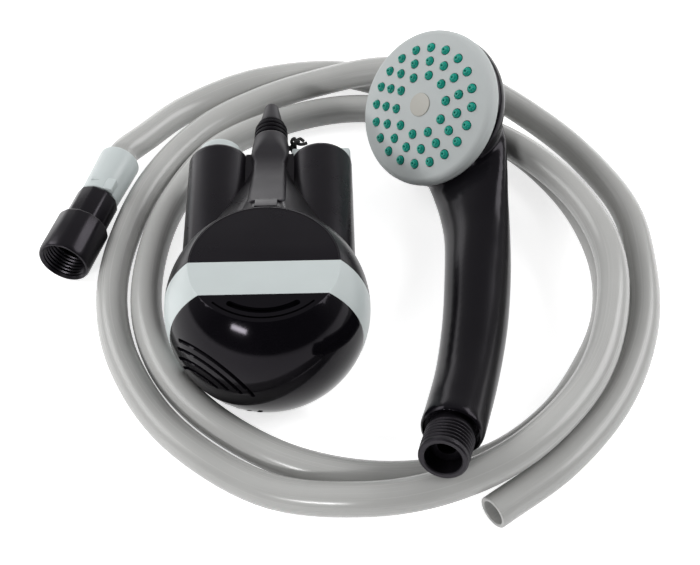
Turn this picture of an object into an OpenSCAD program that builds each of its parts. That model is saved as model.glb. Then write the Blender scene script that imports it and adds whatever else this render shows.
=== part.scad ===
// Camp shower pump kit: a battery pump lying on its back, its hose and a hand shower.
// Millimetres. The origin lies on the table, under the centre of the pump's globe.
// +Y runs along the pump to its outlet, +X to the right, +Z up.

/* [Pump globe] */
// Radius of the round pump body
globe_r = 45; // [43:0.5:47]
// Half the distance between the front and back flats
flat_h = 31.6; // [30:0.1:33]
// Wall thickness of the casing, belt and dome
wall = 2.4; // [1.8:0.1:2.8]
// Upper edge of the belt above the globe's centre
belt_top = 0.4; // [0:0.1:3]
// Width of the belt
belt_w = 17.8; // [17:0.1:19]

/* [Battery tubes] */
// Diameter of a battery cell
cell_d = 26.2; // [25:0.1:26.6]
// Length of a battery cell with its nub
cell_len = 49; // [46:0.2:50]
// Gap between a cell and its tube
cell_gap = 0.4; // [0.3:0.1:0.6]
// Wall thickness of a battery tube
tube_wall = 1.25; // [1:0.05:1.6]
// Depth of the tube bottoms below the globe's centre
tube_low = 16; // [14:0.5:16]
// Thickness of a tube floor
tube_floor = 1.2; // [0.8:0.1:1.6]
// Height of a lower contact
contact_h = 1.7; // [1.2:0.1:2.5]

/* [Caps and button] */
// Thickness of a tube cap
cap_t = 3.9; // [3.4:0.1:5]
// Rounding of a cap's edge
cap_round = 3; // [1:0.5:3]
// Depth of the cap's skirt in the tube
skirt_h = 1.6; // [1:0.1:2]
// Thickness of a cap gasket
gasket_t = 0.5; // [0.3:0.1:1]
// Radius of the power button
button_r = 10.5; // [9:0.5:12]
// Height of the power button
button_h = 10.5; // [8:0.5:12]
// Travel of the power button
button_travel = 1.5; // [1:0.1:1.8]
// Width of the grip bar
grip_w = 7; // [5:0.5:9]
// Height of the grip bar
grip_h = 6; // [3:0.5:7]

/* [Outlet] */
// Height of the riser above the caps
riser_over = 15; // [12:1:24]
// Gap between the riser and the tubes
riser_gap = 0.6; // [0.6:0.1:2]
// How far the riser narrows toward the collar rings
riser_taper = 0.6; // [0:0.1:1.2]
// Slope of the flare that joins the globe, the tubes and the riser
flare_angle = 24.7; // [22:0.1:26]
// How far the front pad stands proud of the flare
pad_lift = 0.9; // [0.6:0.1:1.5]
// Half width of the front pad
pad_half = 8.5; // [7:0.1:8.8]
// Radius of the hose land at the outlet
land_r = 5.2; // [4.6:0.1:6]
// Length of the hose land
land_len = 4; // [3:0.5:8]
// Radius of the outlet tip
tip_r = 3.1; // [2.8:0.1:3.6]
// Length of the outlet cone
cone_len = 13; // [8:0.5:16]
// Radius of the outlet bore
outlet_bore_r = 2.2; // [1.6:0.1:2.4]
// Number of collar rings
ring_count = 3; // [2:1:4]

/* [Pump works] */
// Thickness of the bulkhead
bulk_t = 3; // [2.4:0.2:4]
// Room for the leads above the bulkhead
lead_room = 2; // [1.8:0.1:3]
// Radius of the motor
motor_r = 10; // [9:0.5:11]
// Length of the motor
motor_len = 25; // [20:1:30]
// Radius of the motor shaft
shaft_r = 1.15; // [1:0.05:1.5]
// Radius of the volute's chamber
volute_r = 14.5; // [13:0.5:16]
// Depth of the volute's chamber
volute_h = 12; // [10:0.5:13]
// Radius of the impeller
impeller_r = 12.5; // [10:0.5:12.5]
// Number of impeller vanes
vane_count = 6; // [4:1:8]
// Outer radius of the delivery pipe
pipe_r = 4.5; // [4:0.1:5]
// Bore radius of the delivery pipe
pipe_bore_r = 3.3; // [2.5:0.1:3.5]

/* [Hose] */
// Outer diameter of the hose
hose_d = 14.5; // [10:0.1:14.5]
// Bore of the hose
hose_bore = 10.8; // [7:0.1:11]
// Sides of the hose tube
hose_sides = 10; // [8:1:12]

/* [Swivel nut] */
// Radius of the nut's thread bore
nut_bore_r = 10.5; // [10:0.1:11]
// Wall of the nut round its thread
nut_wall = 2.5; // [2:0.1:2.8]
// Length of the nut's wide part
nut_wide_len = 24; // [22:1:30]
// Length of the nut's narrow part
nut_neck_len = 18; // [12:1:22]
// Radius of the nut's narrow part
nut_neck_r = 10.6; // [9.5:0.1:11]
// Length of the hose tail's collar
collar_len = 28; // [22:1:34]
// Number of grip flats on the nut's wide part
nut_flats = 12; // [8:1:12]
// Number of grip flats on the nut's narrow part
neck_flats = 10; // [8:1:12]

/* [Hand shower] */
// Radius of the spray face
face_r = 38.5; // [36:0.5:40]
// Height of the spray face at its centre
face_h = 11; // [10:0.5:13]
// Radius of the spray face's crown
crown_r = 165; // [150:5:300]
// Depth of the head's rounded back
head_back = 21; // [18:0.5:21]
// Wall thickness of the handle and head
hand_wall = 2.6; // [2:0.1:3]
// Radius of the inlet thread
thread_r = 10.48; // [10:0.02:11]
// Length of the inlet thread
thread_len = 15; // [12:0.5:18]
// Radius of the inlet bore
inlet_bore_r = 7.7; // [6.5:0.1:8.2]
// Nozzles in each ring, from the inside out
nozzle_counts = [10, 15, 20];
// Radius of a nozzle nub
nozzle_r = 2.1; // [1.4:0.1:2.4]
// How far a nub stands above the face
nozzle_h = 1.9; // [1:0.1:3]

/* [Hidden] */
$fn = 64;

// Colours as photographed
black = [0.12, 0.11, 0.13];
pale_grey = [0.78, 0.81, 0.81];
hose_grey = [0.70, 0.70, 0.68];
teal = [0.04, 0.56, 0.48];
rubber = [0.08, 0.08, 0.08];
metal = [0.72, 0.72, 0.74];

// Fits
slip = 0.35;
run_fit = 0.05;
seat_gap = 0.1;

// Globe
globe_in = globe_r - wall;
flat_in = flat_h - wall;
belt_low = belt_top - belt_w;

// Battery tubes, placed so that their bottoms clear the globe's inner wall
tube_in_r = cell_d / 2 + cell_gap;
tube_r = tube_in_r + tube_wall;
tube_x = sqrt(globe_in * globe_in - tube_low * tube_low) - tube_r - slip;
tube_half_gap = tube_x - tube_r;
cell_r = cell_d / 2;
cell_z = -tube_low + tube_floor + contact_h;
nub_h = 1.5;
nub_r = 3.3;
cell_top = cell_z + 2 * cell_len;
contact_r = 0.3 * cell_d;
tube_end = cell_top + 1.2;
cap_z = tube_end + gasket_t + seat_gap;
cap_top = cap_z + cap_t;
well_floor = 1.2;
button_sink = 0.6;
button_z = cap_z + well_floor + button_travel + seat_gap;

// Riser and outlet
riser_r = tube_half_gap - riser_gap;
riser_seat = globe_r - 1.5;
riser_top = cap_top + riser_over;
ring_pitch = 2.5;
land_z = riser_top + ring_count * ring_pitch;
cone_z = land_z + land_len;
spigot_r = pipe_r + 2.4;
spigot_len = 6;
flat_top = sqrt(globe_r * globe_r - flat_h * flat_h);
flare_low = flat_top - 0.5;
flare_wide = flat_h - 0.4;
flare_end = tube_end - 2;
flare_bend = 60;
flare_neck = tube_half_gap;
pad_low = flat_top + 6.5;
pad_high = riser_top - 1;
pad_corner = 3;
waist_z = cap_top - 2;
waist_half = pad_half - 0.6;
waist_r = 85;
tab_w = 10.4;
tab_h = 4;
tie_z = cap_top + grip_h + 4;
tie_r = 0.9;
peg_r = 1.3;
peg_len = 3.6;
peg_root = 2.4;
knot_r = 2.4;
tail_len = 7.5;

// Bulkhead and volute
bulk_top = -tube_low - lead_room;
bulk_low = bulk_top - bulk_t;
bulk_r = sqrt(globe_in * globe_in - bulk_low * bulk_low) - slip;
bulk_half = flat_in - slip;
ledge_w = 3;
ledge_t = 2;
motor_half = tube_half_gap - 2.4;
motor_top = bulk_top + motor_len;
motor_bore = 10;
seal_r = 5;
volute_out = volute_r + 2.2;
volute_floor = 2;
screw_boss = 3;
volute_z = bulk_low - volute_h;
eye_r = 5;
impeller_h = 5.5;
impeller_z = volute_z + 1;
pipe_y = volute_out + 0.3;
boss_r = pipe_r + 1.7;
pipe_bend = 14;
pipe_join = 33;
wire_r = 0.6;
lead_x = tube_half_gap + 0.5;
lead_y = 13;

// Intake slots in the dome
slot_axis = [0, 139.3, 157.4];
slot_angles = [16, 22, 27.8, 33.2];
slot_ends = [[30, 134], [20, 124], [9, 112], [1, 104]];
slot_rib = 13;
slot_back = 38;
slot_w = 1.7;
// Front flat of the dome below the belt, and the arcs that share its height
dome_flat = flat_top + belt_low;
arc_w = 2.7;
arc_r = 0.6 * dome_flat - belt_low;
arc_half = acos((0.55 * (arc_r + belt_low) - belt_low) / arc_r);
groove_w = 0.9;
groove_r = 0.85 * dome_flat - belt_low;
groove_half = acos((0.32 * (groove_r + belt_low) - belt_low) / groove_r);

// Hose tail and nut, along the nut's axis from its mouth
nut_pos = [-97.8, 45.4, 13.2];
nut_turn = -17.1;
nut_r = nut_bore_r + nut_wall;
nut_step = nut_wide_len - 4;
nut_len = nut_wide_len + nut_neck_len;
tail_r = 6.9;
tail_bore_r = 4;
flange_t = 3;
flange_z = nut_step - flange_t - 0.4;
washer_t = 2;
thread_depth = flange_z - washer_t - 0.3;
collar_z = nut_len + 0.4;
collar_r = hose_d / 2 + slip + 1.9;
hose_stop = collar_z + 9;
barb_r = hose_bore / 2 - 2 * slip;
nut_dir = [sin(-nut_turn), cos(nut_turn), 0];
hose_r = hose_d / 2;

// Hose route on the table, from the tail's socket to the bare end
lie = 7.5;
hose_start = nut_pos + hose_stop * nut_dir;
hose_mouth = nut_pos + (collar_z + collar_len + 1) * nut_dir;
hose_clear = nut_pos + (collar_z + collar_len + 7) * nut_dir;
hose_shift = [0.3, 3.9, 0];
hose_turn = 0.9;
hose_laid = [
    [-65, 128, 11.5], [-44, 154, lie], [-10, 173, lie], [30, 179, lie], [58, 171, lie],
    [86, 153, lie], [112, 131, lie], [135, 105, lie], [151, 74, lie], [158, 40, lie],
    [155, 8, lie], [143, -20, lie], [121, -50, lie], [90, -71, lie], [50, -77, lie],
    [10, -68, lie], [-24, -46, lie], [-46, -19, lie], [-57, 14, lie], [-57, 50, lie],
    [-48, 86, lie], [-28, 121, lie], [4, 141, lie], [38, 150, lie], [70, 143, 11],
    [98, 125, 18], [124, 101, 22.8], [147, 69, 22.8], [157, 32, 22.8], [152, -6, 22.8],
    [136, -42, 22.8], [106, -73, 22.8], [72, -88, 19], [36, -91, 15.5], [-4, -80, 8.5],
    [-42, -51, lie], [-65, -14, lie], [-74, 24, lie], [-71, 62, lie], [-58, 103, lie],
    [-34, 138, lie], [-4, 157, 9.5], [28, 164, 15], [58, 164, 21.5], [84, 159, 23],
    [110, 150, 20.5], [138, 134, 11], [159, 109, lie], [174, 74, lie], [176, 40, lie],
    [170, 0, lie], [152, -39, lie], [124, -71, lie], [90, -95, lie]
];
hose_route = concat([hose_start, hose_mouth, hose_clear], [for (p = hose_laid) laid(p)]);

// Hand shower: its inlet lies on the lower strands, its head on the upper ones
hand_pos = [70.2, -83, 38.5];
hand_turn = [-20.5, -43, -3.1];
head_pos = [0, 190.8, 69.4];
head_tilt = 47;
rim_z = 4;
plate_t = 6;
face_top = rim_z + face_h;
face_round = 3.5;
shell_r = face_r - 0.5;
skirt_in = face_r - hand_wall;
ledge_r = skirt_in - slip;
ledge_in = ledge_r - 2.4;
mat_t = 1.2;
mat_top = face_top - plate_t;
seal_t = 1.2;
ledge_top = mat_top - mat_t - seal_t;
post_r = 4.2;
screw_r = 1.5;
screw_head_r = 3.3;
screw_head_h = 1.2;
nozzle_ring = 7;
nozzle_inner = 14.7;
nozzle_turn = [13.4, 7.5, 4.6];
centre_r = 5.8;
thread_flange = 2;
tail_in = 9;
handle_from = thread_len + thread_flange;

// Handle centreline: distance along the inlet axis, rise to the face side, half width, half depth
hand_line = [
    [handle_from + 0.2, 0, 13.2, 13.2], [handle_from + 13, 0, 13.3, 13.3], [55, 1.3, 13.6, 13.6],
    [85, 5.5, 14.5, 14.5], [115, 12.8, 15.6, 14.6], [140, 21, 16.9, 13], [156, 28.5, 17.8, 11.5],
    [168, 35, 18.6, 10], [184, 45.5, 19, 8], [200, 60, 17, 4]
];

// A point of the hose as laid, turned about the pump and moved
function laid(p) = hose_shift + [
    p[0] * cos(hose_turn) - p[1] * sin(hose_turn), p[0] * sin(hose_turn) + p[1] * cos(hose_turn), p[2]];

// One point of a smooth curve through p1 and p2
function curve_point(p0, p1, p2, p3, t) =
    0.5 * (2 * p1 + (p2 - p0) * t + (2 * p0 - 5 * p1 + 4 * p2 - p3) * t * t
    + (3 * p1 - p0 - 3 * p2 + p3) * t * t * t);

// A smooth curve through all points, with n steps from each to the next
function smooth(p, n) = concat(
    [for (i = [0 : len(p) - 2], k = [0 : n - 1])
        curve_point(
            i == 0 ? 2 * p[0] - p[1] : p[i - 1], p[i], p[i + 1],
            i == len(p) - 2 ? 2 * p[i + 1] - p[i] : p[i + 2], k / n)],
    [p[len(p) - 1]]);

// Direction of a curve at its i-th point
function heading(c, i) =
    let (d = c[min(i + 1, len(c) - 1)] - c[max(i - 1, 0)])
    d / norm(d);

// A ring of points round a curve's i-th point, square to it
function ring(c, i, r, sides) =
    let (
        t = heading(c, i),
        side = cross(t, [0, 0, 1]) / norm(cross(t, [0, 0, 1])),
        up = cross(side, t)
    )
    [for (k = [0 : sides - 1]) c[i] + r * (cos(360 * k / sides) * side + sin(360 * k / sides) * up)];

// Two triangles between corners of neighbouring rings
function quad(a, b, c, d) = [[a, b, c], [a, c, d]];

// Faces between ring rows of a tube, turned outward or inward
function wall_faces(rows, sides, first, outward) = [
    for (i = [0 : rows - 2], k = [0 : sides - 1])
        let (
            a = first + i * sides + k,
            b = first + i * sides + (k + 1) % sides,
            c = b + sides,
            d = a + sides
        )
        each (outward ? quad(a, d, c, b) : quad(a, b, c, d))
];

// Faces of the flat wall between the outer and inner ring at one end
function end_faces(outer, inner, sides, flip) = [
    for (k = [0 : sides - 1])
        let (
            a = outer + k,
            b = outer + (k + 1) % sides,
            c = inner + (k + 1) % sides,
            d = inner + k
        )
        each (flip ? quad(a, d, c, b) : quad(a, b, c, d))
];

// A straight rod from a to b, with a knuckle a little wider than the rod at its far end
module rod(a, b, r) {
    v = b - a;
    translate(a)
        rotate([0, acos(v[2] / norm(v)), atan2(v[1], v[0])])
            cylinder(h = norm(v), r = r);
    translate(b)
        sphere(r = 1.12 * r);
}

// A disc whose upper edge is rounded
module rounded_disc(r, h, e) {
    rotate_extrude() {
        square([r - e, h]);
        square([r, h - e]);
        intersection() {
            translate([r - e, h - e])
                circle(r = e);
            square([r, h]);
        }
    }
}

// Pump frame: z along the pump to its outlet, -y to the front
module pump_place() {
    translate([0, 0, flat_h])
        rotate([-90, 0, 0])
            children();
}

// Globe with its front and back flats, between two heights
module globe(r, half, low, high) {
    intersection() {
        sphere(r = r);
        translate([-r, -half, low])
            cube([2 * r, 2 * half, high - low]);
    }
}

// Globe wall between two heights
module globe_wall(low, high) {
    difference() {
        globe(globe_r, flat_h, low, high);
        globe(globe_in, flat_in, low - 1, high + 1);
    }
}

module tubes(r, low, high) {
    for (side = [-1, 1])
        translate([side * tube_x, 0, low])
            cylinder(h = high - low, r = r);
}

// Flare radius at a height: a cone off the globe that bends upright at the riser
flare_turn = flare_bend * tan(flare_angle / 2);
flare_meet = flare_low + (flare_wide - flare_neck) / tan(flare_angle);
flare_line = concat(
    [[flare_wide, flare_low]],
    [for (k = [0 : 6])
        let (a = flare_angle * (1 - k / 6))
        [flare_neck + flare_bend * (1 - cos(a)), flare_meet + flare_turn - flare_bend * sin(a)]]);

function flare_at(z) = lookup(z, [for (p = flare_line) [p[1], p[0]]]);

// Solid flare, grown or drawn in by a distance, up to a height
module flare(grow, high) {
    rotate_extrude()
        polygon(concat(
            [[0, flare_low]],
            [for (p = flare_line) if (p[1] < high) [p[0] + grow, p[1]]],
            [[flare_at(high) + grow, high], [0, high]]));
}

module upper_casing() {
    color(black)
    pump_place()
    difference() {
        union() {
            globe_wall(belt_top, globe_r);
            tubes(tube_r, -tube_low, tube_end);
            difference() {
                flare(0, flare_end);
                flare(-wall, flare_end - wall);
                globe(globe_in, flat_in, 0, globe_r);
            }
            // tab under the front pad
            translate([-tab_w / 2, -flat_h + 0.3, flat_top])
                cube([tab_w, wall, tab_h]);
            // web behind the riser that joins the tubes
            translate([-tube_x, riser_r + 0.6, globe_in - 8])
                cube([2 * tube_x, wall, tube_end - globe_in + 7]);
        }
        tubes(tube_in_r, -tube_low + tube_floor, tube_end + 1);
        tubes(1.25, -tube_low - 1, tube_end);
        translate([0, 0, riser_seat])
            cylinder(h = 2 * globe_r, r = riser_r + 0.3);
        translate([0, 0, riser_seat - 10])
            cylinder(h = 20, r = spigot_r + run_fit);
    }
}

module belt_band() {
    color(pale_grey)
    pump_place()
    globe_wall(belt_low, belt_top);
}

// Arc slot on the front flat, cut to a depth
module arc_slot(r, w, half, depth) {
    translate([0, -flat_h + depth, 0])
        rotate([90, 0, 0])
            linear_extrude(depth + 1) {
                intersection() {
                    difference() {
                        circle(r = r + w / 2);
                        circle(r = r - w / 2);
                    }
                    polygon([[0, 0], [-2 * r * sin(half), -2 * r * cos(half)],
                        [0, -3 * r], [2 * r * sin(half), -2 * r * cos(half)]]);
                }
                for (side = [-1, 1])
                    translate([side * r * sin(half), -r * cos(half)])
                        circle(r = w / 2);
            }
}

// Part of a ring slot through the globe's wall, between two turns
module ring_slot(r, low, from, to) {
    translate([0, 0, low])
        linear_extrude(globe_r)
            intersection() {
                difference() {
                    circle(r = r + slot_w / 2);
                    circle(r = r - slot_w / 2);
                }
                polygon(concat([[0, 0]],
                    [for (t = [0 : 0.25 : 1])
                        let (a = from + t * (to - from))
                        2 * globe_r * [cos(a), sin(a)]]));
            }
}

module intake_dome() {
    color(black)
    pump_place()
    difference() {
        union() {
            globe_wall(-globe_r, belt_low);
            // ledge that carries the bulkhead
            difference() {
                globe(globe_r - wall / 2, flat_h - wall / 2, bulk_low - ledge_t, bulk_low);
                intersection() {
                    translate([0, 0, bulk_low - ledge_t - 1])
                        cylinder(h = ledge_t + 2, r = bulk_r - ledge_w);
                    translate([-globe_r, -bulk_half + ledge_w, -globe_r])
                        cube([2 * globe_r, 2 * (bulk_half - ledge_w), 2 * globe_r]);
                }
            }
        }
        arc_slot(arc_r, arc_w, arc_half, wall + 0.5);
        arc_slot(groove_r, groove_w, groove_half, wall / 3);
        // curved intake slots on the lower left, in two halves with a rib between them
        rotate(slot_axis)
            for (k = [0 : len(slot_angles) - 1]) {
                r = globe_r * sin(slot_angles[k]);
                low = sqrt(globe_in * globe_in - pow(r + slot_w, 2)) - 1;
                ends = slot_ends[k];
                ring_slot(r, low, ends[0], ends[1]);
                ring_slot(r, low, -slot_rib - ends[0] - slot_back, -slot_rib - ends[0]);
            }
    }
}

module bulkhead() {
    color(rubber)
    pump_place()
    difference() {
        union() {
            intersection() {
                translate([0, 0, bulk_low])
                    cylinder(h = bulk_t, r = bulk_r);
                translate([-bulk_r, -bulk_half, bulk_low])
                    cube([2 * bulk_r, 2 * bulk_half, bulk_t]);
            }
            // cradle arms beside the motor
            for (side = [-1, 1])
                translate([-motor_half + 1, side * (motor_r + 1.1) - 0.9, bulk_low])
                    cube([2 * motor_half - 2, 1.8, bulk_t + motor_len / 2]);
        }
        translate([0, 0, bulk_low - 1])
            cylinder(h = bulk_t + 2, r = seal_r);
        translate([0, pipe_y, bulk_low - 1])
            cylinder(h = bulk_t + 2, r = pipe_r + seat_gap);
        volute_screw_places()
            cylinder(h = 8, r = 1.1, center = true);
    }
}

// The three screws that hold the volute to the bulkhead
module volute_screw_places() {
    for (a = [-30, 210, 270])
        rotate([0, 0, a])
            translate([volute_out + 2, 0, bulk_low])
                children();
}

module volute_screws() {
    color(metal)
    pump_place()
    volute_screw_places() {
        translate([0, 0, -screw_boss - 1.5])
            cylinder(h = 1.5, r = 2);
        translate([0, 0, -screw_boss])
            cylinder(h = screw_boss + bulk_t - 0.5, r = 1.05);
    }
}

module volute_housing() {
    color(black)
    pump_place()
    difference() {
        union() {
            translate([0, 0, volute_z - volute_floor])
                cylinder(h = volute_h + volute_floor, r = volute_out);
            translate([0, pipe_y, volute_z - volute_floor])
                cylinder(h = volute_h + volute_floor, r = boss_r);
            volute_screw_places()
                translate([0, 0, -screw_boss])
                    cylinder(h = screw_boss, r = 2.8);
        }
        translate([0, 0, volute_z])
            cylinder(h = volute_h + 1, r = volute_r);
        translate([0, 0, volute_z - volute_floor - 1])
            cylinder(h = volute_floor + 2, r = eye_r);
        translate([0, pipe_y, volute_z])
            cylinder(h = volute_h + 1, r = pipe_bore_r);
        // throat from the chamber to the delivery bore
        translate([-pipe_bore_r + 0.5, 0, volute_z])
            cube([2 * pipe_bore_r - 1, pipe_y, 5]);
        volute_screw_places()
            cylinder(h = 12, r = 1.1, center = true);
    }
}

module impeller() {
    color(pale_grey)
    pump_place()
    translate([0, 0, impeller_z])
    difference() {
        union() {
            translate([0, 0, impeller_h - 1.2])
                cylinder(h = 1.2, r = impeller_r);
            cylinder(h = impeller_h, r = 3.4);
            for (k = [0 : vane_count - 1])
                rotate([0, 0, 360 * k / vane_count])
                    translate([2.8, -0.6, 0.6])
                        cube([impeller_r - 3.4, 1.2, impeller_h - 1]);
        }
        translate([0, 0, -1])
            cylinder(h = impeller_h + 2, r = shaft_r + 0.02);
    }
}

module motor_shaft() {
    color(metal)
    pump_place()
    translate([0, 0, impeller_z])
        cylinder(h = bulk_top + motor_bore - 0.5 - impeller_z, r = shaft_r);
}

module shaft_seal() {
    color(rubber)
    pump_place()
    translate([0, 0, bulk_low])
    difference() {
        cylinder(h = bulk_t, r = seal_r - run_fit);
        translate([0, 0, -1])
            cylinder(h = bulk_t + 2, r = shaft_r + run_fit);
    }
}

module motor_can() {
    color(metal)
    pump_place()
    difference() {
        intersection() {
            translate([0, 0, bulk_top])
                cylinder(h = motor_len, r = motor_r);
            translate([-motor_half, -motor_r, bulk_top])
                cube([2 * motor_half, 2 * motor_r, motor_len]);
        }
        translate([0, 0, bulk_top - 1])
            cylinder(h = motor_bore + 1, r = shaft_r + run_fit);
    }
}

// Delivery pipe route: up behind the motor, then in to the riser
module pipe_route(r, over) {
    rod([0, pipe_y, bulk_low - over], [0, pipe_y, pipe_bend], r);
    rod([0, pipe_y, pipe_bend], [0, 0, pipe_join], r);
    translate([0, 0, pipe_join])
        cylinder(h = riser_seat - pipe_join - 1 + over, r = r);
}

module delivery_pipe() {
    color(rubber)
    pump_place()
    difference() {
        pipe_route(pipe_r, 0);
        pipe_route(pipe_bore_r, 1);
    }
}

module motor_leads() {
    $fn = 16;
    color([0.6, 0.08, 0.06])
    pump_place()
    for (side = [-1, 1]) {
        low = -tube_low - 0.9;
        high = motor_top + 3;
        start = [side * tube_x, 0, low];
        turn_low = [side * lead_x, lead_y, low];
        turn_high = [side * lead_x, lead_y, high];
        over = [side * motor_half / 2, 0, high];
        rod(start, turn_low, wire_r);
        rod(turn_low, turn_high, wire_r);
        rod(turn_high, over, wire_r);
        translate([side * motor_half / 2, 0, motor_top])
            cylinder(h = high - motor_top, r = wire_r);
    }
}

module lower_contacts() {
    color(metal)
    pump_place()
    for (side = [-1, 1])
        translate([side * tube_x, 0, -tube_low]) {
            translate([0, 0, tube_floor])
                cylinder(h = 0.5, r = contact_r);
            translate([0, 0, tube_floor + 0.4])
                cylinder(h = contact_h - 0.4, r1 = 6, r2 = 3);
            translate([0, 0, -0.3])
                cylinder(h = tube_floor + 0.5, r = 1.2);
        }
}

module cell(side, level) {
    pump_place()
    translate([side * tube_x, 0, cell_z + level * cell_len]) {
        cylinder(h = cell_len - nub_h, r = cell_r);
        translate([0, 0, cell_len - nub_h - 0.5])
            cylinder(h = nub_h + 0.5, r = nub_r);
    }
}

module left_lower_cell() {
    color([0.55, 0.42, 0.16])
    cell(-1, 0);
}

module left_upper_cell() {
    color([0.55, 0.42, 0.16])
    cell(-1, 1);
}

module right_lower_cell() {
    color([0.55, 0.42, 0.16])
    cell(1, 0);
}

module right_upper_cell() {
    color([0.55, 0.42, 0.16])
    cell(1, 1);
}

// Contact on the underside of a cap
module cap_contact(side) {
    color(metal)
    pump_place()
    translate([side * tube_x, 0, cell_top + seat_gap])
        cylinder(h = cap_z - cell_top - seat_gap, r = contact_r);
}

module left_contact() {
    cap_contact(-1);
}

module right_contact() {
    cap_contact(1);
}

module cap_gaskets() {
    color(rubber)
    pump_place()
    for (side = [-1, 1])
        translate([side * tube_x, 0, tube_end])
            difference() {
                cylinder(h = gasket_t, r = tube_r - 0.1);
                translate([0, 0, -1])
                    cylinder(h = gasket_t + 2, r = tube_in_r);
            }
}

// Cap body: flush rounded end with a skirt in the tube
module cap(side) {
    pump_place()
    translate([side * tube_x, 0, cap_z]) {
        rounded_disc(tube_r, cap_t, cap_round);
        translate([0, 0, -skirt_h])
            difference() {
                cylinder(h = skirt_h + 0.5, r = tube_in_r - slip);
                translate([0, 0, -1])
                    cylinder(h = skirt_h + 1, r = tube_in_r - slip - 1.6);
            }
    }
}

module left_cap() {
    color(black)
    difference() {
        cap(-1);
        // well for the power button
        pump_place()
            translate([-tube_x, 0, cap_z + well_floor])
                cylinder(h = cap_t, r = button_r + slip);
    }
}

module right_cap() {
    color(black)
    cap(1);
}

module power_button() {
    dome = button_h * 0.25;
    dome_r = (button_r * button_r + dome * dome) / (2 * dome);
    color(pale_grey)
    pump_place()
    translate([-tube_x, 0, button_z])
        rotate_extrude()
            intersection() {
                translate([0, button_h - dome_r])
                    circle(r = dome_r, $fn = 128);
                square([button_r, button_h]);
            }
}

module cap_grip() {
    color(pale_grey)
    pump_place()
    translate([tube_x, 0, cap_top])
        intersection() {
            rounded_disc(tube_r - 0.4, grip_h, 1);
            translate([-tube_r, -grip_w / 2, 0])
                cube([2 * tube_r, grip_w, grip_h]);
        }
}

// Front pad: follows the flare a little proud of it, then runs out on the riser
module front_pad() {
    line = [for (p = flare_line) if (p[1] > pad_low && p[1] < pad_high) p];
    intersection() {
        rotate([90, 0, 90])
            translate([0, 0, -pad_half])
                linear_extrude(2 * pad_half)
                    polygon(concat(
                        [[0, pad_low], [-flare_at(pad_low) - pad_lift, pad_low]],
                        [for (p = line) [-p[0] - pad_lift, p[1]]],
                        [[-riser_r + riser_taper, pad_high], [0, pad_high]]));
        rotate([90, 0, 0])
            linear_extrude(globe_r) {
                translate([-pad_half, pad_low + pad_corner])
                    square([2 * pad_half, pad_high - pad_low]);
                translate([-pad_half + pad_corner, pad_low])
                    square([2 * (pad_half - pad_corner), 2 * pad_corner]);
                for (side = [-1, 1])
                    translate([side * (pad_half - pad_corner), pad_low + pad_corner])
                        circle(r = pad_corner);
            }
    }
}

module outlet_spout() {
    color(black)
    pump_place()
    union() {
        difference() {
            union() {
                translate([0, 0, riser_seat])
                    cylinder(h = cap_top - riser_seat + 0.5, r = riser_r);
                translate([0, 0, cap_top])
                    cylinder(h = riser_over, r1 = riser_r, r2 = riser_r - riser_taper);
                translate([0, 0, riser_seat - spigot_len])
                    cylinder(h = spigot_len + 1, r = spigot_r);
                difference() {
                    front_pad();
                    flare(seat_gap, flare_end + seat_gap);
                }
                // stepped collar rings under the hose land
                for (k = [0 : ring_count - 1]) {
                    ring_r = riser_r - 1 - k * (riser_r - 1.6 - land_r) / ring_count;
                    translate([0, 0, riser_top + k * ring_pitch])
                        cylinder(h = 0.8, r = ring_r - 1);
                    translate([0, 0, riser_top + k * ring_pitch + 0.7])
                        cylinder(h = ring_pitch - 0.7, r = ring_r);
                }
                translate([0, 0, land_z])
                    cylinder(h = land_len, r = land_r);
                translate([0, 0, cone_z])
                    cylinder(h = cone_len, r1 = land_r, r2 = tip_r);
            }
            translate([0, 0, riser_seat - spigot_len])
                cylinder(h = cone_z + cone_len, r = outlet_bore_r);
            // socket for the delivery pipe
            translate([0, 0, riser_seat - spigot_len - 1])
                cylinder(h = spigot_len, r = pipe_r + run_fit);
            // waist between the tubes
            for (side = [-1, 1])
                translate([side * (waist_half + waist_r), globe_r, waist_z])
                    rotate([90, 0, 0])
                        cylinder(h = 2 * globe_r, r = waist_r, $fn = 180);
        }
        // peg for the tie cord
        translate([riser_r - peg_root, 0, tie_z])
            rotate([0, 90, 0]) {
                cylinder(h = peg_root + peg_len, r = peg_r);
                translate([0, 0, peg_root + peg_len - tie_r])
                    cylinder(h = tie_r, r = peg_r + 0.5);
            }
    }
}

module tie_cord() {
    round_r = peg_r + tie_r + seat_gap;
    ring_x = riser_r + peg_len / 2 - 0.3;
    knot_y = -round_r - knot_r + 0.3;
    $fn = 24;
    color(rubber)
    pump_place()
    translate([ring_x, 0, tie_z]) {
        rotate([0, 90, 0])
            rotate_extrude()
                translate([round_r, 0])
                    circle(r = tie_r);
        translate([0, knot_y, 0])
            rotate([0, 90, 0])
                translate([0, 0, -tie_r])
                    cylinder(h = 2 * knot_r, r = knot_r);
        // loose ends
        for (side = [-1, 1])
            translate([0, knot_y, side * 1.1])
                rotate([0, 90 - side * 8, 0])
                    cylinder(h = tail_len, r = tie_r);
    }
}

// Hose: one unbroken tube along the route, with its bore
hose_curve = smooth(hose_route, 2);
hose_rows = len(hose_curve);
hose_half = hose_rows * hose_sides;
hose_gap = min([
    for (i = [0 : hose_rows - 1], j = [i + 5 : 1 : hose_rows - 1])
        norm(hose_curve[i] - hose_curve[j]) - hose_d
]);
hose_steps = [for (i = [0 : hose_rows - 2]) norm(hose_curve[i + 1] - hose_curve[i])];
echo(hose_least_gap = hose_gap, hose_length = hose_steps * [for (step = hose_steps) 1]);

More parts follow.
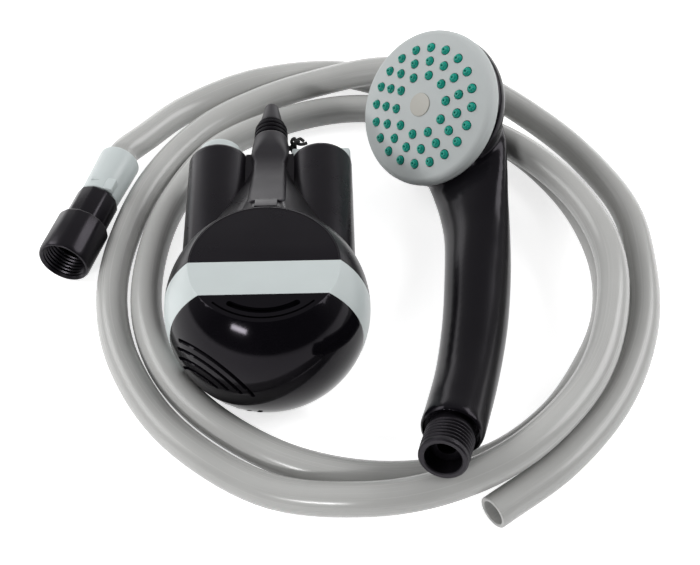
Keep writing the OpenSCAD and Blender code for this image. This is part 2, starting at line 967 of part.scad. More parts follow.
module hose() {
    color(hose_grey)
    polyhedron(
        points = concat(
            [for (i = [0 : hose_rows - 1]) each ring(hose_curve, i, hose_r, hose_sides)],
            [for (i = [0 : hose_rows - 1]) each ring(hose_curve, i, hose_bore / 2, hose_sides)]),
        faces = concat(
            wall_faces(hose_rows, hose_sides, 0, true),
            wall_faces(hose_rows, hose_sides, hose_half, false),
            end_faces(0, hose_half, hose_sides, false),
            end_faces(hose_half - hose_sides, 2 * hose_half - hose_sides, hose_sides, true)),
        convexity = 10);
}

// Nut frame: z from the nut's mouth to the hose
module nut_place() {
    translate(nut_pos)
        rotate([0, 0, nut_turn])
            rotate([-90, 0, 0])
                children();
}

module hose_tail() {
    color(pale_grey)
    nut_place()
    difference() {
        union() {
            translate([0, 0, flange_z])
                cylinder(h = flange_t, r = nut_bore_r - slip - 0.4);
            translate([0, 0, flange_z])
                cylinder(h = collar_z - flange_z + 1, r = tail_r);
            difference() {
                translate([0, 0, collar_z])
                    cylinder(h = collar_len, r = collar_r);
                translate([0, 0, hose_stop])
                    cylinder(h = collar_len, r = hose_r + slip);
            }
            translate([0, 0, hose_stop - 1])
                cylinder(h = collar_len / 2, r = barb_r);
        }
        translate([0, 0, flange_z - 1])
            cylinder(h = nut_len + collar_len, r = tail_bore_r);
    }
}

module swivel_nut() {
    color(black)
    nut_place()
    difference() {
        union() {
            cylinder(h = nut_wide_len, r = nut_r, $fn = nut_flats);
            translate([0, 0, nut_wide_len])
                cylinder(h = nut_neck_len, r = nut_neck_r, $fn = neck_flats);
        }
        translate([0, 0, -1])
            cylinder(h = thread_depth + 1, r = nut_bore_r);
        translate([0, 0, thread_depth])
            cylinder(h = nut_step - thread_depth, r = nut_bore_r + 0.3);
        cylinder(h = nut_len + 1, r = tail_r + slip);
    }
}

module nut_washer() {
    color(rubber)
    nut_place()
    translate([0, 0, flange_z - washer_t])
        difference() {
            cylinder(h = washer_t, r = nut_bore_r - slip - 0.2);
            translate([0, 0, -1])
                cylinder(h = washer_t + 2, r = 6);
        }
}

// Hand shower frame: y along the inlet to the head, z to the face side
module hand_place() {
    translate(hand_pos)
        rotate(hand_turn)
            children();
}

// Head frame: z out of the spray face
module head_place() {
    hand_place()
        translate(head_pos)
            rotate([head_tilt, 0, 0])
                children();
}

// Handle as one lofted form, drawn in by a wall
handle_sides = 28;
handle_curve = smooth(hand_line, 3);

module handle_form(inset, over) {
    centre = [for (p = handle_curve) [0, p[0], p[1]]];
    rows = len(centre);
    points = [for (i = [0 : rows - 1])
        let (
            t = i == 0 ? [0, 1, 0] : heading(centre, i),
            shift = i == 0 ? -over : i == rows - 1 ? over : 0,
            wide = handle_curve[i][2] - inset,
            deep = handle_curve[i][3] - inset,
            up = cross([1, 0, 0], t)
        )
        each [for (k = [0 : handle_sides - 1])
            centre[i] + shift * t
            + wide * cos(360 * k / handle_sides) * [1, 0, 0]
            + deep * sin(360 * k / handle_sides) * up]
    ];
    last = (rows - 1) * handle_sides;
    polyhedron(
        points = points,
        faces = concat(
            wall_faces(rows, handle_sides, 0, true),
            [[for (k = [handle_sides - 1 : -1 : 0]) k]],
            [[for (k = [0 : handle_sides - 1]) last + k]]),
        convexity = 4);
}

// Rounded back of the head
module head_back_form(inset, high) {
    rotate_extrude()
        polygon(concat(
            [[0, high]],
            [[shell_r - inset, high]],
            [for (a = [0 : 7.5 : 90])
                [(shell_r - inset) * cos(a), -(head_back - rim_z - inset) * sin(a)]]));
}

module handset_shell() {
    color(black) {
        difference() {
            union() {
                hand_place()
                    handle_form(0, 0);
                head_place()
                    head_back_form(0, rim_z - seat_gap);
            }
            hand_place()
                handle_form(hand_wall, 1);
            head_place()
                head_back_form(hand_wall, rim_z + 1);
        }
        // seat for the face seal, and the post for the face screw
        head_place() {
            difference() {
                translate([0, 0, -1])
                    cylinder(h = ledge_top + 1, r = ledge_r);
                translate([0, 0, -2])
                    cylinder(h = ledge_top + 3, r = ledge_in);
            }
            difference() {
                translate([0, 0, -head_back + rim_z + 1.5])
                    cylinder(h = head_back - rim_z - 1.5 + mat_top - mat_t, r = post_r);
                translate([0, 0, -2])
                    cylinder(h = face_top, r = screw_r + 0.03);
            }
        }
    }
}

module inlet_spigot() {
    color(black)
    hand_place()
    rotate([-90, 0, 0])
    difference() {
        union() {
            cylinder(h = thread_len, r = thread_r);
            translate([0, 0, thread_len])
                cylinder(h = thread_flange, r = hand_line[0][2] - 0.4);
            translate([0, 0, handle_from - 0.5])
                cylinder(h = tail_in, r = hand_line[0][2] - hand_wall - 0.5);
        }
        translate([0, 0, -1])
            cylinder(h = handle_from + tail_in + 2, r = inlet_bore_r);
    }
}

module flow_disc() {
    color(black)
    hand_place()
    rotate([-90, 0, 0])
    translate([0, 0, 8])
    difference() {
        cylinder(h = 2, r = inlet_bore_r - run_fit);
        translate([0, 0, -1])
            cylinder(h = 4, r = 4);
    }
}

// Height of the crowned face at a distance from its centre
function crown_z(r) = face_top - crown_r + sqrt(crown_r * crown_r - r * r);

// Nozzle nubs in three rings, from the mat to a height above the face
module nozzles(r, over) {
    for (ring_no = [0 : len(nozzle_counts) - 1], k = [0 : nozzle_counts[ring_no] - 1])
        rotate([0, 0, nozzle_turn[ring_no] + 360 * k / nozzle_counts[ring_no]])
            translate([nozzle_inner + nozzle_ring * ring_no, 0, mat_top - 0.5])
                cylinder(
                    h = crown_z(nozzle_inner + nozzle_ring * ring_no) - mat_top + 0.5 + over,
                    r = r, $fn = 10);
}

module spray_face() {
    color(pale_grey)
    head_place()
    difference() {
        union() {
            translate([0, 0, rim_z])
                rounded_disc(face_r, crown_z(face_r - face_round) - rim_z, face_round);
            // crown inside the rim
            rotate_extrude()
                intersection() {
                    translate([0, face_top - crown_r])
                        circle(r = crown_r, $fn = 360);
                    translate([0, rim_z])
                        square([face_r - face_round, face_h]);
                }
        }
        translate([0, 0, rim_z - 1])
            cylinder(h = mat_top - rim_z + 1, r = skirt_in);
        nozzles(nozzle_r + 0.1, 3);
        translate([0, 0, mat_top - 1])
            cylinder(h = plate_t + 2, r = screw_r + 0.3);
        translate([0, 0, face_top - screw_head_h - 0.2])
            cylinder(h = plate_t, r = screw_head_r + 0.2);
    }
}

module nozzle_mat() {
    color(teal)
    head_place()
    difference() {
        union() {
            translate([0, 0, mat_top - mat_t])
                cylinder(h = mat_t, r = ledge_r);
            nozzles(nozzle_r, nozzle_h);
        }
        translate([0, 0, mat_top - mat_t - 1])
            cylinder(h = mat_t + 2, r = screw_r + 0.3);
    }
}

module centre_cap() {
    color(pale_grey)
    head_place()
    translate([0, 0, face_top])
        rounded_disc(centre_r, 0.7, 0.4);
}

module face_screw() {
    color(metal)
    head_place() {
        translate([0, 0, face_top - screw_head_h - 0.2])
            cylinder(h = screw_head_h, r = screw_head_r);
        translate([0, 0, -1])
            cylinder(h = face_top - screw_head_h + 0.9, r = screw_r);
    }
}

module face_seal() {
    color(rubber)
    head_place()
    translate([0, 0, ledge_top])
        difference() {
            cylinder(h = seal_t, r = ledge_r);
            translate([0, 0, -1])
                cylinder(h = seal_t + 2, r = ledge_in);
        }
}

upper_casing();
belt_band();
intake_dome();
bulkhead();
outlet_spout();
left_cap();
right_cap();
cap_gaskets();
power_button();
cap_grip();
left_lower_cell();
left_upper_cell();
right_lower_cell();
right_upper_cell();
lower_contacts();
left_contact();
right_contact();
motor_can();
motor_shaft();
shaft_seal();
impeller();
volute_housing();
volute_screws();
delivery_pipe();
motor_leads();
tie_cord();
hose();
hose_tail();
swivel_nut();
nut_washer();
handset_shell();
inlet_spigot();
flow_disc();
spray_face();
nozzle_mat();
centre_cap();
face_screw();
face_seal();
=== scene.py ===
import math

import bmesh
import bpy
from bpy.props import FloatProperty, FloatVectorProperty, IntProperty, PointerProperty
from mathutils import Euler, Matrix, Vector


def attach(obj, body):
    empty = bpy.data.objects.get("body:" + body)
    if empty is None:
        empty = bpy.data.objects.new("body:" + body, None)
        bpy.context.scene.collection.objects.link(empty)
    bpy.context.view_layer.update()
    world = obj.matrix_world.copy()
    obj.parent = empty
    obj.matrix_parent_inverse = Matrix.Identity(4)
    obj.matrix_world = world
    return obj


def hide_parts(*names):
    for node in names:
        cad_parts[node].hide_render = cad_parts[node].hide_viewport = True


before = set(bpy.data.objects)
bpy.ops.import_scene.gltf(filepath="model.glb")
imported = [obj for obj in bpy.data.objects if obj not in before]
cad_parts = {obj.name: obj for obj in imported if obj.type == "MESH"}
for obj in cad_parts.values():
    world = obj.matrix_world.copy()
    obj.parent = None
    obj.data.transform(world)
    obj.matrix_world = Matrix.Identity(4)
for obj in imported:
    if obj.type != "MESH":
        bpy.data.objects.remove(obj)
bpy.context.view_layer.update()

bl_info = {
    "name": "Camp shower kit",
    "version": (1, 0, 0),
    "blender": (4, 5, 0),
    "location": "View3D > Sidebar > Shower kit",
    "description": "Dresses a battery shower pump, its hose and its hand shower",
    "category": "Object",
}

MM = 0.001
WELD = 2e-6
KIT = "kit"

# Camera fitted to the photograph: place in millimetres, tilt down, heading in plan, focal length in pixels
CAMERA_PLACE = Vector((26.79, -349.22, 465))
CAMERA_TILT = math.radians(50)
CAMERA_HEADING = (0.0262, 0.99966)
FOCAL_PIXELS, IMAGE_PIXELS, SENSOR = 1271, 700, 36

# Light that the table gives off where it is seen, so that it stays white
FLOOR_GLOW = 0.75

# Where each group lies, as in the part's source: pump axis, nut axis, handle and head
FLAT_H = 31.6
PUMP = Matrix.Translation((0, 0, FLAT_H * MM)) @ Matrix.Rotation(math.radians(-90), 4, "X")
NUT_POS = Vector((-97.8, 45.4, 13.2))
NUT_TURN = math.radians(17.1)
NUT_DIR = Vector((math.sin(NUT_TURN), math.cos(NUT_TURN), 0))
NUT = (
    Matrix.Translation(NUT_POS * MM)
    @ Matrix.Rotation(-NUT_TURN, 4, "Z")
    @ Matrix.Rotation(math.radians(-90), 4, "X")
)
HAND = (
    Matrix.Translation(Vector((70.2, -83, 38.5)) * MM)
    @ Euler([math.radians(a) for a in (-20.5, -43, -3.1)]).to_matrix().to_4x4()
)
HEAD = HAND @ Matrix.Translation(Vector((0, 190.8, 69.4)) * MM) @ Matrix.Rotation(math.radians(47), 4, "X")

# Pump sizes along and across its axis; the seam is the gap between neighbours
TUBE_X, TUBE_R, TUBE_END = 24.381, 14.75, 86.35
CAP_FOOT, CAP_TOP = 86.4, 90.6
BELT_TOP, BELT_LOW = 0.4, -17.4
SEAM = 0.05
RISER_TOP, CORD_Z = 105.5, 100.6
FLARE_ANGLE = math.radians(24.7)
FLARE_LOW, FLARE_WIDE, FLARE_NECK, FLARE_BEND = 31.54, 31.2, 9.63, 60

# Hose route on the table, as in the part's source
LIE = 7.5
HOSE_LAY = Matrix.Translation((0.3, 3.9, 0)) @ Matrix.Rotation(math.radians(0.9), 4, "Z")
HOSE_LAID = [
    (-65, 128, 11.5), (-44, 154, LIE), (-10, 173, LIE), (30, 179, LIE), (58, 171, LIE),
    (86, 153, LIE), (112, 131, LIE), (135, 105, LIE), (151, 74, LIE), (158, 40, LIE),
    (155, 8, LIE), (143, -20, LIE), (121, -50, LIE), (90, -71, LIE), (50, -77, LIE),
    (10, -68, LIE), (-24, -46, LIE), (-46, -19, LIE), (-57, 14, LIE), (-57, 50, LIE),
    (-48, 86, LIE), (-28, 121, LIE), (4, 141, LIE), (38, 150, LIE), (70, 143, 11),
    (98, 125, 18), (124, 101, 22.8), (147, 69, 22.8), (157, 32, 22.8), (152, -6, 22.8),
    (136, -42, 22.8), (106, -73, 22.8), (72, -88, 19), (36, -91, 15.5), (-4, -80, 8.5),
    (-42, -51, LIE), (-65, -14, LIE), (-74, 24, LIE), (-71, 62, LIE), (-58, 103, LIE),
    (-34, 138, LIE), (-4, 157, 9.5), (28, 164, 15), (58, 164, 21.5), (84, 159, 23),
    (110, 150, 20.5), (138, 134, 11), (159, 109, LIE), (174, 74, LIE), (176, 40, LIE),
    (170, 0, LIE), (152, -39, LIE), (124, -71, LIE), (90, -95, LIE),
]
HOSE_ROUTE = [NUT_POS + NUT_DIR * d for d in (51.4, 71.4, 77.4)] + [HOSE_LAY @ Vector(p) for p in HOSE_LAID]

# Handle stations: along, up, half width and half depth
HANDLE_LINE = [
    (15.6, 0, 13.2, 13.2), (30, 0, 13.3, 13.3), (55, 1.3, 13.6, 13.6), (85, 5.5, 14.5, 14.5),
    (115, 12.8, 15.6, 14.6), (140, 21, 16.9, 13), (156, 28.5, 19, 11.5), (168, 35, 21.6, 10),
    (184, 45.5, 25, 8), (200, 60, 23, 4),
]
# Nozzle rings: count, radius and first turn; intake slots: angle off their axis, start and end turn
NOZZLE_RINGS = [(10, 14.7, 13.4), (15, 21.7, 7.5), (20, 28.7, 4.6)]
SLOT_RINGS = [(16, 30, 134), (22, 20, 124), (27.8, 9, 112), (33.2, 1, 104)]
SLOT_AXIS = Euler([math.radians(a) for a in (0, 139.3, 157.4)]).to_matrix().to_4x4()

# Colour of the black plastic's reflections, and the dull band along the ribbed collar in metres
DARK_SHEEN = (0.95, 0.88, 1.0)
RIB_MIDDLE, RIB_HALF, RIB_FADE = 0.1113, 0.0052, 0.0006


class KitSizes(bpy.types.PropertyGroup):
    globe_radius: FloatProperty(
        name="Globe radius", description="Radius of the round pump body", default=0.045, unit="LENGTH")
    wall: FloatProperty(
        name="Casing wall", description="Wall thickness of the pump casing", default=0.0024, unit="LENGTH")
    edge: FloatProperty(
        name="Dome edge", description="Rounding of the intake dome's edges", default=0.0005, unit="LENGTH")
    hose_diameter: FloatProperty(
        name="Hose diameter", description="Outer diameter of the hose", default=0.0145, unit="LENGTH")
    hose_bore: FloatProperty(
        name="Hose bore", description="Inner diameter of the hose", default=0.0108, unit="LENGTH")
    nut_flats: IntProperty(
        name="Nut flats", description="Number of grip flats on the swivel nut", default=14, min=6, max=16)
    crown_radius: FloatProperty(
        name="Face crown", description="Radius of the spray face's crown", default=0.165, unit="LENGTH")


class KitColours(bpy.types.PropertyGroup):
    casing: FloatVectorProperty(
        name="Casing", description="Gloss black of the pump, nut and handle", subtype="COLOR",
        default=(0.0034, 0.003, 0.0042), min=0, max=1)
    trim: FloatVectorProperty(
        name="Trim", description="Pale grey of the belt, collar and button", subtype="COLOR",
        default=(0.56, 0.61, 0.61), min=0, max=1)
    face: FloatVectorProperty(
        name="Spray face", description="Grey of the spray face", subtype="COLOR",
        default=(0.385, 0.408, 0.402), min=0, max=1)
    hose: FloatVectorProperty(
        name="Hose", description="Grey of the hose", subtype="COLOR",
        default=(0.45, 0.45, 0.44), min=0, max=1)
    nozzles: FloatVectorProperty(
        name="Nozzles", description="Teal of the nozzle nubs", subtype="COLOR",
        default=(0.002, 0.30, 0.225), min=0, max=1)


def sizes():
    return bpy.context.scene.kit_sizes


def colours():
    return bpy.context.scene.kit_colours


# Outlines and curves, in millimetres


def smooth_line(points, steps):
    """A smooth curve through all points, with the same number of steps from each to the next"""
    p = [Vector(q) for q in points]
    p = [2 * p[0] - p[1]] + p + [2 * p[-1] - p[-2]]
    line = []
    for a, b, c, d in zip(p, p[1:], p[2:], p[3:]):
        for k in range(steps):
            t = k / steps
            line.append(0.5 * (2 * b + (c - a) * t + (2 * a - 5 * b + 4 * c - d) * t ** 2
                               + (3 * b - a - 3 * c + d) * t ** 3))
    return line + [p[-2]]


def outline(*corners, steps=6):
    """Corners (x, y) or (x, y, rounding) as a line with its corners rounded"""
    line = []
    for i, corner in enumerate(corners):
        p = Vector(corner[:2])
        if len(corner) < 3 or i in (0, len(corners) - 1):
            line.append(p)
            continue
        a = (Vector(corners[i - 1][:2]) - p).normalized()
        b = (Vector(corners[i + 1][:2]) - p).normalized()
        half = a.angle(b) / 2
        centre = p + (a + b).normalized() * corner[2] / math.sin(half)
        u = p + a * corner[2] / math.tan(half) - centre
        v = p + b * corner[2] / math.tan(half) - centre
        turn = u.angle(v)
        for k in range(steps + 1):
            t = k / steps
            line.append(centre + (u * math.sin((1 - t) * turn) + v * math.sin(t * turn)) / math.sin(turn))
    return line


def arc_outline(radius, width, start, end):
    """A closed arc with round ends, between two turns in degrees"""
    steps = 36
    line = [Vector((math.cos(a), math.sin(a))) for a in (
        math.radians(start + (end - start) * k / steps) for k in range(steps + 1))]
    ends = [math.radians(180 * k / 8) for k in range(1, 8)]
    half = width / 2
    points = [v * (radius + half) for v in line]
    points += [line[-1] * radius + half * (Matrix.Rotation(e, 2) @ line[-1]) for e in ends]
    points += [v * (radius - half) for v in reversed(line)]
    points += [line[0] * radius - half * (Matrix.Rotation(e, 2) @ line[0]) for e in ends]
    return points + points[:1]


def ease(t):
    """Soft step from 0 to 1"""
    t = min(1, max(0, t))
    return t * t * (3 - 2 * t)


def flare_line(high):
    """Flare off the globe as (radius, height): a cone that bends upright at the riser, up to a height"""
    cone = (FLARE_WIDE - FLARE_NECK) / math.tan(FLARE_ANGLE)
    meet = FLARE_LOW + cone + FLARE_BEND * math.tan(FLARE_ANGLE / 2)
    line = [(FLARE_WIDE, FLARE_LOW)]
    for k in range(25):
        a = FLARE_ANGLE * (1 - k / 24)
        line.append((FLARE_NECK + FLARE_BEND * (1 - math.cos(a)), meet - FLARE_BEND * math.sin(a)))
    return [p for p in line if p[1] < high]


def flare_at(z):
    """Flare radius at a height"""
    line = flare_line(200)
    for (ra, za), (rb, zb) in zip(line, line[1:]):
        if z <= zb:
            return ra + (rb - ra) * (z - za) / (zb - za)
    return line[-1][0]


# Modelling steps


def deselect():
    if bpy.context.object and bpy.context.object.mode != "OBJECT":
        bpy.ops.object.mode_set(mode="OBJECT")
    bpy.ops.object.select_all(action="DESELECT")


def pick(obj, *others):
    """Selects pieces, of which the first is the active one"""
    deselect()
    for o in (obj, *others):
        o.select_set(True)
    bpy.context.view_layer.objects.active = obj


def modifier(obj, kind, **values):
    """Adds a modifier, sets it and applies it"""
    pick(obj)
    m = obj.modifiers.new(kind.title(), kind)
    for key, value in values.items():
        setattr(m, key, value)
    bpy.ops.object.modifier_apply(modifier=m.name)


def soften(obj, width, angle=25, segments=3):
    """Rounds the hard edges of a piece by a width in metres"""
    modifier(obj, "BEVEL", width=width, segments=segments, limit_method="ANGLE",
             angle_limit=math.radians(angle), harden_normals=False)


def cut(obj, *cutters, operation="DIFFERENCE"):
    """Cuts or joins closed pieces with an exact boolean, and removes the cutters"""
    for c in cutters:
        modifier(obj, "BOOLEAN", operation=operation, object=c, solver="EXACT")
        bpy.data.objects.remove(c)


def join(obj, *others):
    pick(obj, *others)
    bpy.ops.object.join()
    return obj


def tidy_mesh(obj):
    """Welds points that meet and turns the faces outward"""
    pick(obj)
    bpy.ops.object.mode_set(mode="EDIT")
    bpy.ops.mesh.select_all(action="SELECT")
    bpy.ops.mesh.remove_doubles(threshold=WELD)
    bpy.ops.mesh.normals_make_consistent(inside=False)
    bpy.ops.object.mode_set(mode="OBJECT")


def set_place(obj, matrix):
    """Turns and moves the mesh of a piece, whose object stays at the origin"""
    pick(obj)
    obj.matrix_world = matrix
    bpy.ops.object.transform_apply(location=True, rotation=True, scale=True)
    return obj


def shift(obj, x=0, y=0, z=0):
    return set_place(obj, Matrix.Translation(Vector((x, y, z)) * MM))


def drawn(name, line):
    """A new piece in edit mode: a line through (x, z) points"""
    deselect()
    bpy.ops.mesh.primitive_plane_add(size=MM)
    obj = bpy.context.object
    obj.name = name
    bpy.ops.object.mode_set(mode="EDIT")
    bpy.ops.mesh.select_all(action="SELECT")
    bpy.ops.mesh.merge(type="CENTER")
    bpy.ops.transform.translate(value=(line[0][0] * MM, 0, line[0][1] * MM))
    for a, b in zip(line, line[1:]):
        step = ((b[0] - a[0]) * MM, 0, (b[1] - a[1]) * MM)
        bpy.ops.mesh.extrude_vertices_move(TRANSFORM_OT_translate={"value": step})
    bpy.ops.mesh.select_all(action="SELECT")
    return obj


def turned(name, line, steps):
    """Turns a line of (radius, height) about the z axis"""
    obj = drawn(name, line)
    bpy.ops.mesh.spin(steps=steps, angle=math.tau, center=(0, 0, 0), axis=(0, 0, 1))
    bpy.ops.object.mode_set(mode="OBJECT")
    tidy_mesh(obj)
    return obj


def prism(name, flats, radius, low, high, edge):
    """An upright bar with flat sides and rounded edges"""
    deselect()
    bpy.ops.mesh.primitive_cylinder_add(
        vertices=flats, radius=radius * MM, depth=(high - low) * MM, location=(0, 0, (low + high) / 2 * MM))
    obj = bpy.context.object
    obj.name = name
    bpy.ops.object.transform_apply(location=True, rotation=True, scale=True)
    soften(obj, edge * MM, 20, 4)
    return obj


def block(name, low, high, edge=0.0):
    """A box between two corners, with rounded edges where a rounding is given"""
    deselect()
    low, high = Vector(low) * MM, Vector(high) * MM
    bpy.ops.mesh.primitive_cube_add(size=1, location=(low + high) / 2)
    obj = bpy.context.object
    obj.name = name
    obj.dimensions = high - low
    bpy.ops.object.transform_apply(location=True, rotation=True, scale=True)
    if edge:
        soften(obj, edge * MM)
    return obj


def slab(name, points, depth):
    """A flat outline in x and z, pulled out toward the front by a depth"""
    obj = drawn(name, points)
    bpy.ops.mesh.remove_doubles(threshold=WELD)
    bpy.ops.mesh.select_all(action="SELECT")
    bpy.ops.mesh.edge_face_add()
    bpy.ops.mesh.extrude_region_move(TRANSFORM_OT_translate={"value": (0, -depth * MM, 0)})
    bpy.ops.object.mode_set(mode="OBJECT")
    tidy_mesh(obj)
    return obj


def copy_of(obj):
    twin = obj.copy()
    twin.data = obj.data.copy()
    bpy.context.scene.collection.objects.link(twin)
    return twin


def cut_plane(obj, point, normal, fill):
    """Cuts a piece by a plane and drops the side that the normal points to"""
    pick(obj)
    bpy.ops.object.mode_set(mode="EDIT")
    bpy.ops.mesh.select_all(action="SELECT")
    bpy.ops.mesh.bisect(plane_co=point, plane_no=normal, use_fill=fill, clear_outer=True, clear_inner=False,
                        threshold=1e-7)
    bpy.ops.object.mode_set(mode="OBJECT")


def globe(name, low, high, fill):
    """Round pump body with its front and back flats, between two heights"""
    deselect()
    r = sizes().globe_radius
    bpy.ops.mesh.primitive_uv_sphere_add(segments=144, ring_count=96, radius=r)
    obj = bpy.context.object
    obj.name = name
    for side in (-1, 1):
        cut_plane(obj, (0, side * FLAT_H * MM, 0), (0, side, 0), True)
    if low is not None:
        cut_plane(obj, (0, 0, low * MM), (0, 0, -1), fill)
    if high is not None:
        cut_plane(obj, (0, 0, high * MM), (0, 0, 1), fill)
    return obj


def new_piece(name, bm):
    """Makes a built mesh a piece, with its faces outward"""
    bmesh.ops.recalc_face_normals(bm, faces=bm.faces)
    mesh = bpy.data.meshes.new(name)
    bm.to_mesh(mesh)
    bm.free()
    obj = bpy.data.objects.new(name, mesh)
    bpy.context.scene.collection.objects.link(obj)
    return obj


def lofted(name, rows):
    """A closed skin over rings of points, with flat ends"""
    bm = bmesh.new()
    rings = [[bm.verts.new(Vector(q) * MM) for q in row] for row in rows]
    for a, b in zip(rings, rings[1:]):
        for k in range(len(a)):
            j = (k + 1) % len(a)
            bm.faces.new((a[k], a[j], b[j], b[k]))
    bm.faces.new(list(reversed(rings[0])))
    bm.faces.new(rings[-1])
    return new_piece(name, bm)


def swept(name, path, radius, sides=12, inner=None):
    """A tube along a path in millimetres, hollow with a rounded cut end where an inner radius is given"""
    rings = []
    for i, p in enumerate(path):
        t = (path[min(i + 1, len(path) - 1)] - path[max(i - 1, 0)]).normalized()
        side = t.cross(Vector((0, 0, 1))).normalized()
        rings.append((p, t, side, side.cross(t)))
    last = rings[-1]
    rows = [(*g, radius) for g in rings[:-1]]
    if inner is None:
        rows.append((*last, radius))
    else:
        e = 0.12 * (radius - inner)
        rows += [(last[0] - last[1] * d, *last[1:], q) for d, q in (
            (2 * e, radius), (0.6 * e, radius - 0.5 * e), (0, radius - 1.6 * e), (0, inner + 1.6 * e),
            (0.6 * e, inner + 0.5 * e), (2 * e, inner))]
        rows += [(*g, inner) for g in reversed(rings[:-1])]
    bm = bmesh.new()
    uv = bm.loops.layers.uv.new("Along")
    loops = []
    along = 0.0
    for i, (p, _, side, up, q) in enumerate(rows):
        along += (p - rows[i - 1][0]).length * MM if i else 0.0
        ring = [bm.verts.new((p + q * (math.cos(a) * side + math.sin(a) * up)) * MM)
                for a in (math.tau * k / sides for k in range(sides))]
        loops.append((ring, along))
    pairs = list(zip(loops, loops[1:]))
    if inner is not None:
        pairs.append((loops[-1], loops[0]))
    for (ra, la), (rb, lb) in pairs:
        for k in range(sides):
            j = (k + 1) % sides
            face = bm.faces.new((ra[k], rb[k], rb[j], ra[j]))
            for loop, value in zip(face.loops, ((k, la), (k, lb), (k + 1, lb), (k + 1, la))):
                loop[uv].uv = (value[0] / sides, value[1])
    if inner is None:
        bm.faces.new(list(loops[0][0]))
        bm.faces.new(list(reversed(loops[-1][0])))
    return new_piece(name, bm)


def done(obj, material, body, slot, *nodes, place=None, angle=35):
    """Puts a finished piece in its place, gives it its finish and lets it ride"""
    pick(obj)
    if place is not None:
        set_place(obj, place)
    bpy.ops.object.shade_smooth_by_angle(angle=math.radians(angle))
    obj.data.materials.clear()
    obj.data.materials.append(material)
    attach(obj, body)
    if nodes:
        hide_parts(*nodes)


# Finishes


def finish_nodes(name):
    """A new material with its node tree, shader and texture coordinates"""
    m = bpy.data.materials.new(name)
    m.use_nodes = True
    tree = m.node_tree
    shader = tree.nodes["Principled BSDF"]
    coords = tree.nodes.new("ShaderNodeTexCoord")
    return m, tree, shader, coords


def add_noise(tree, vector, scale, detail):
    n = tree.nodes.new("ShaderNodeTexNoise")
    n.inputs["Scale"].default_value = scale
    n.inputs["Detail"].default_value = detail
    n.inputs["Roughness"].default_value = 0.55
    tree.links.new(vector, n.inputs["Vector"])
    return n.outputs["Fac"]


def add_range(tree, value, low, high, start=0.3, end=0.7):
    n = tree.nodes.new("ShaderNodeMapRange")
    n.inputs["From Min"].default_value = start
    n.inputs["From Max"].default_value = end
    n.inputs["To Min"].default_value = low
    n.inputs["To Max"].default_value = high
    tree.links.new(value, n.inputs["Value"])
    return n.outputs["Result"]


def add_tint(tree, value, dark, light):
    n = tree.nodes.new("ShaderNodeMix")
    n.data_type = "RGBA"
    n.inputs["A"].default_value = (*dark, 1)
    n.inputs["B"].default_value = (*light, 1)
    tree.links.new(value, n.inputs["Factor"])
    return n.outputs["Result"]


def add_bump(tree, value, strength, distance):
    n = tree.nodes.new("ShaderNodeBump")
    n.inputs["Strength"].default_value = strength
    n.inputs["Distance"].default_value = distance
    tree.links.new(value, n.inputs["Height"])
    return n.outputs["Normal"]


def add_math(tree, operation, value, other=0.0):
    """A sum on a value, with a second value or a number"""
    n = tree.nodes.new("ShaderNodeMath")
    n.operation = operation
    tree.links.new(value, n.inputs[0])
    if isinstance(other, bpy.types.NodeSocket):
        tree.links.new(other, n.inputs[1])
    else:
        n.inputs[1].default_value = other
    return n.outputs["Value"]


def add_stretch(tree, vector, scale):
    """Coordinates drawn out along one way"""
    n = tree.nodes.new("ShaderNodeMapping")
    n.inputs["Scale"].default_value = scale
    tree.links.new(vector, n.inputs["Vector"])
    return n.outputs["Vector"]


def add_parts(tree, vector):
    """The x, y and z of a vector"""
    n = tree.nodes.new("ShaderNodeSeparateXYZ")
    tree.links.new(vector, n.inputs["Vector"])
    return n.outputs


def shade(colour, factor):
    return tuple(min(1.0, c * factor) for c in colour)


def moulded(name, colour, rough, spread, vary, grain=900.0, depth=0.00002, specular=0.5, sheen=(1, 1, 1)):
    """Moulded plastic: slight clouding, a fine skin and uneven gloss, with the colour of its reflections"""
    found = bpy.data.materials.get(name)
    if found:
        return found
    m, tree, shader, coords = finish_nodes(name)
    place = coords.outputs["Object"]
    cloud = add_noise(tree, place, 38.0, 4.0)
    skin = add_noise(tree, place, grain, 2.0)
    link = tree.links.new
    link(add_tint(tree, add_range(tree, cloud, 0, 1), shade(colour, 1 - vary), shade(colour, 1 + vary)),
         shader.inputs["Base Color"])
    link(add_range(tree, cloud, rough - spread, rough + spread), shader.inputs["Roughness"])
    link(add_bump(tree, skin, 0.25, depth), shader.inputs["Normal"])
    shader.inputs["Specular IOR Level"].default_value = specular
    shader.inputs["Specular Tint"].default_value = (*sheen, 1)
    return m


def black(name, rough, spread, grain, depth, specular):
    """Black plastic of the casing in one of its polishes"""
    return moulded(name, tuple(colours().casing), rough, spread, 0.1, grain, depth, specular, DARK_SHEEN)


def black_gloss():
    return black("black_gloss", 0.1, 0.03, 700.0, 0.00001, 0.14)


def black_handle():
    return black("black_handle", 0.2, 0.03, 700.0, 0.00001, 0.17)


def black_satin():
    return black("black_satin", 0.3, 0.05, 1100.0, 0.00002, 0.28)


def black_soft():
    return black("black_soft", 0.45, 0.05, 900.0, 0.00002, 0.33)


def black_ribbed():
    """Riser plastic, duller along the ribbed collar"""
    dull, plain = 0.08, 0.33
    m = black("black_ribbed", 0.45, 0.05, 900.0, 0.00002, plain)
    tree = m.node_tree
    along = add_parts(tree, tree.nodes.new("ShaderNodeTexCoord").outputs["Object"])["Y"]
    off = add_math(tree, "ABSOLUTE", add_math(tree, "SUBTRACT", along, RIB_MIDDLE))
    level = add_range(tree, off, dull, plain, RIB_HALF, RIB_HALF + RIB_FADE)
    tree.links.new(level, tree.nodes["Principled BSDF"].inputs["Specular IOR Level"])
    return m


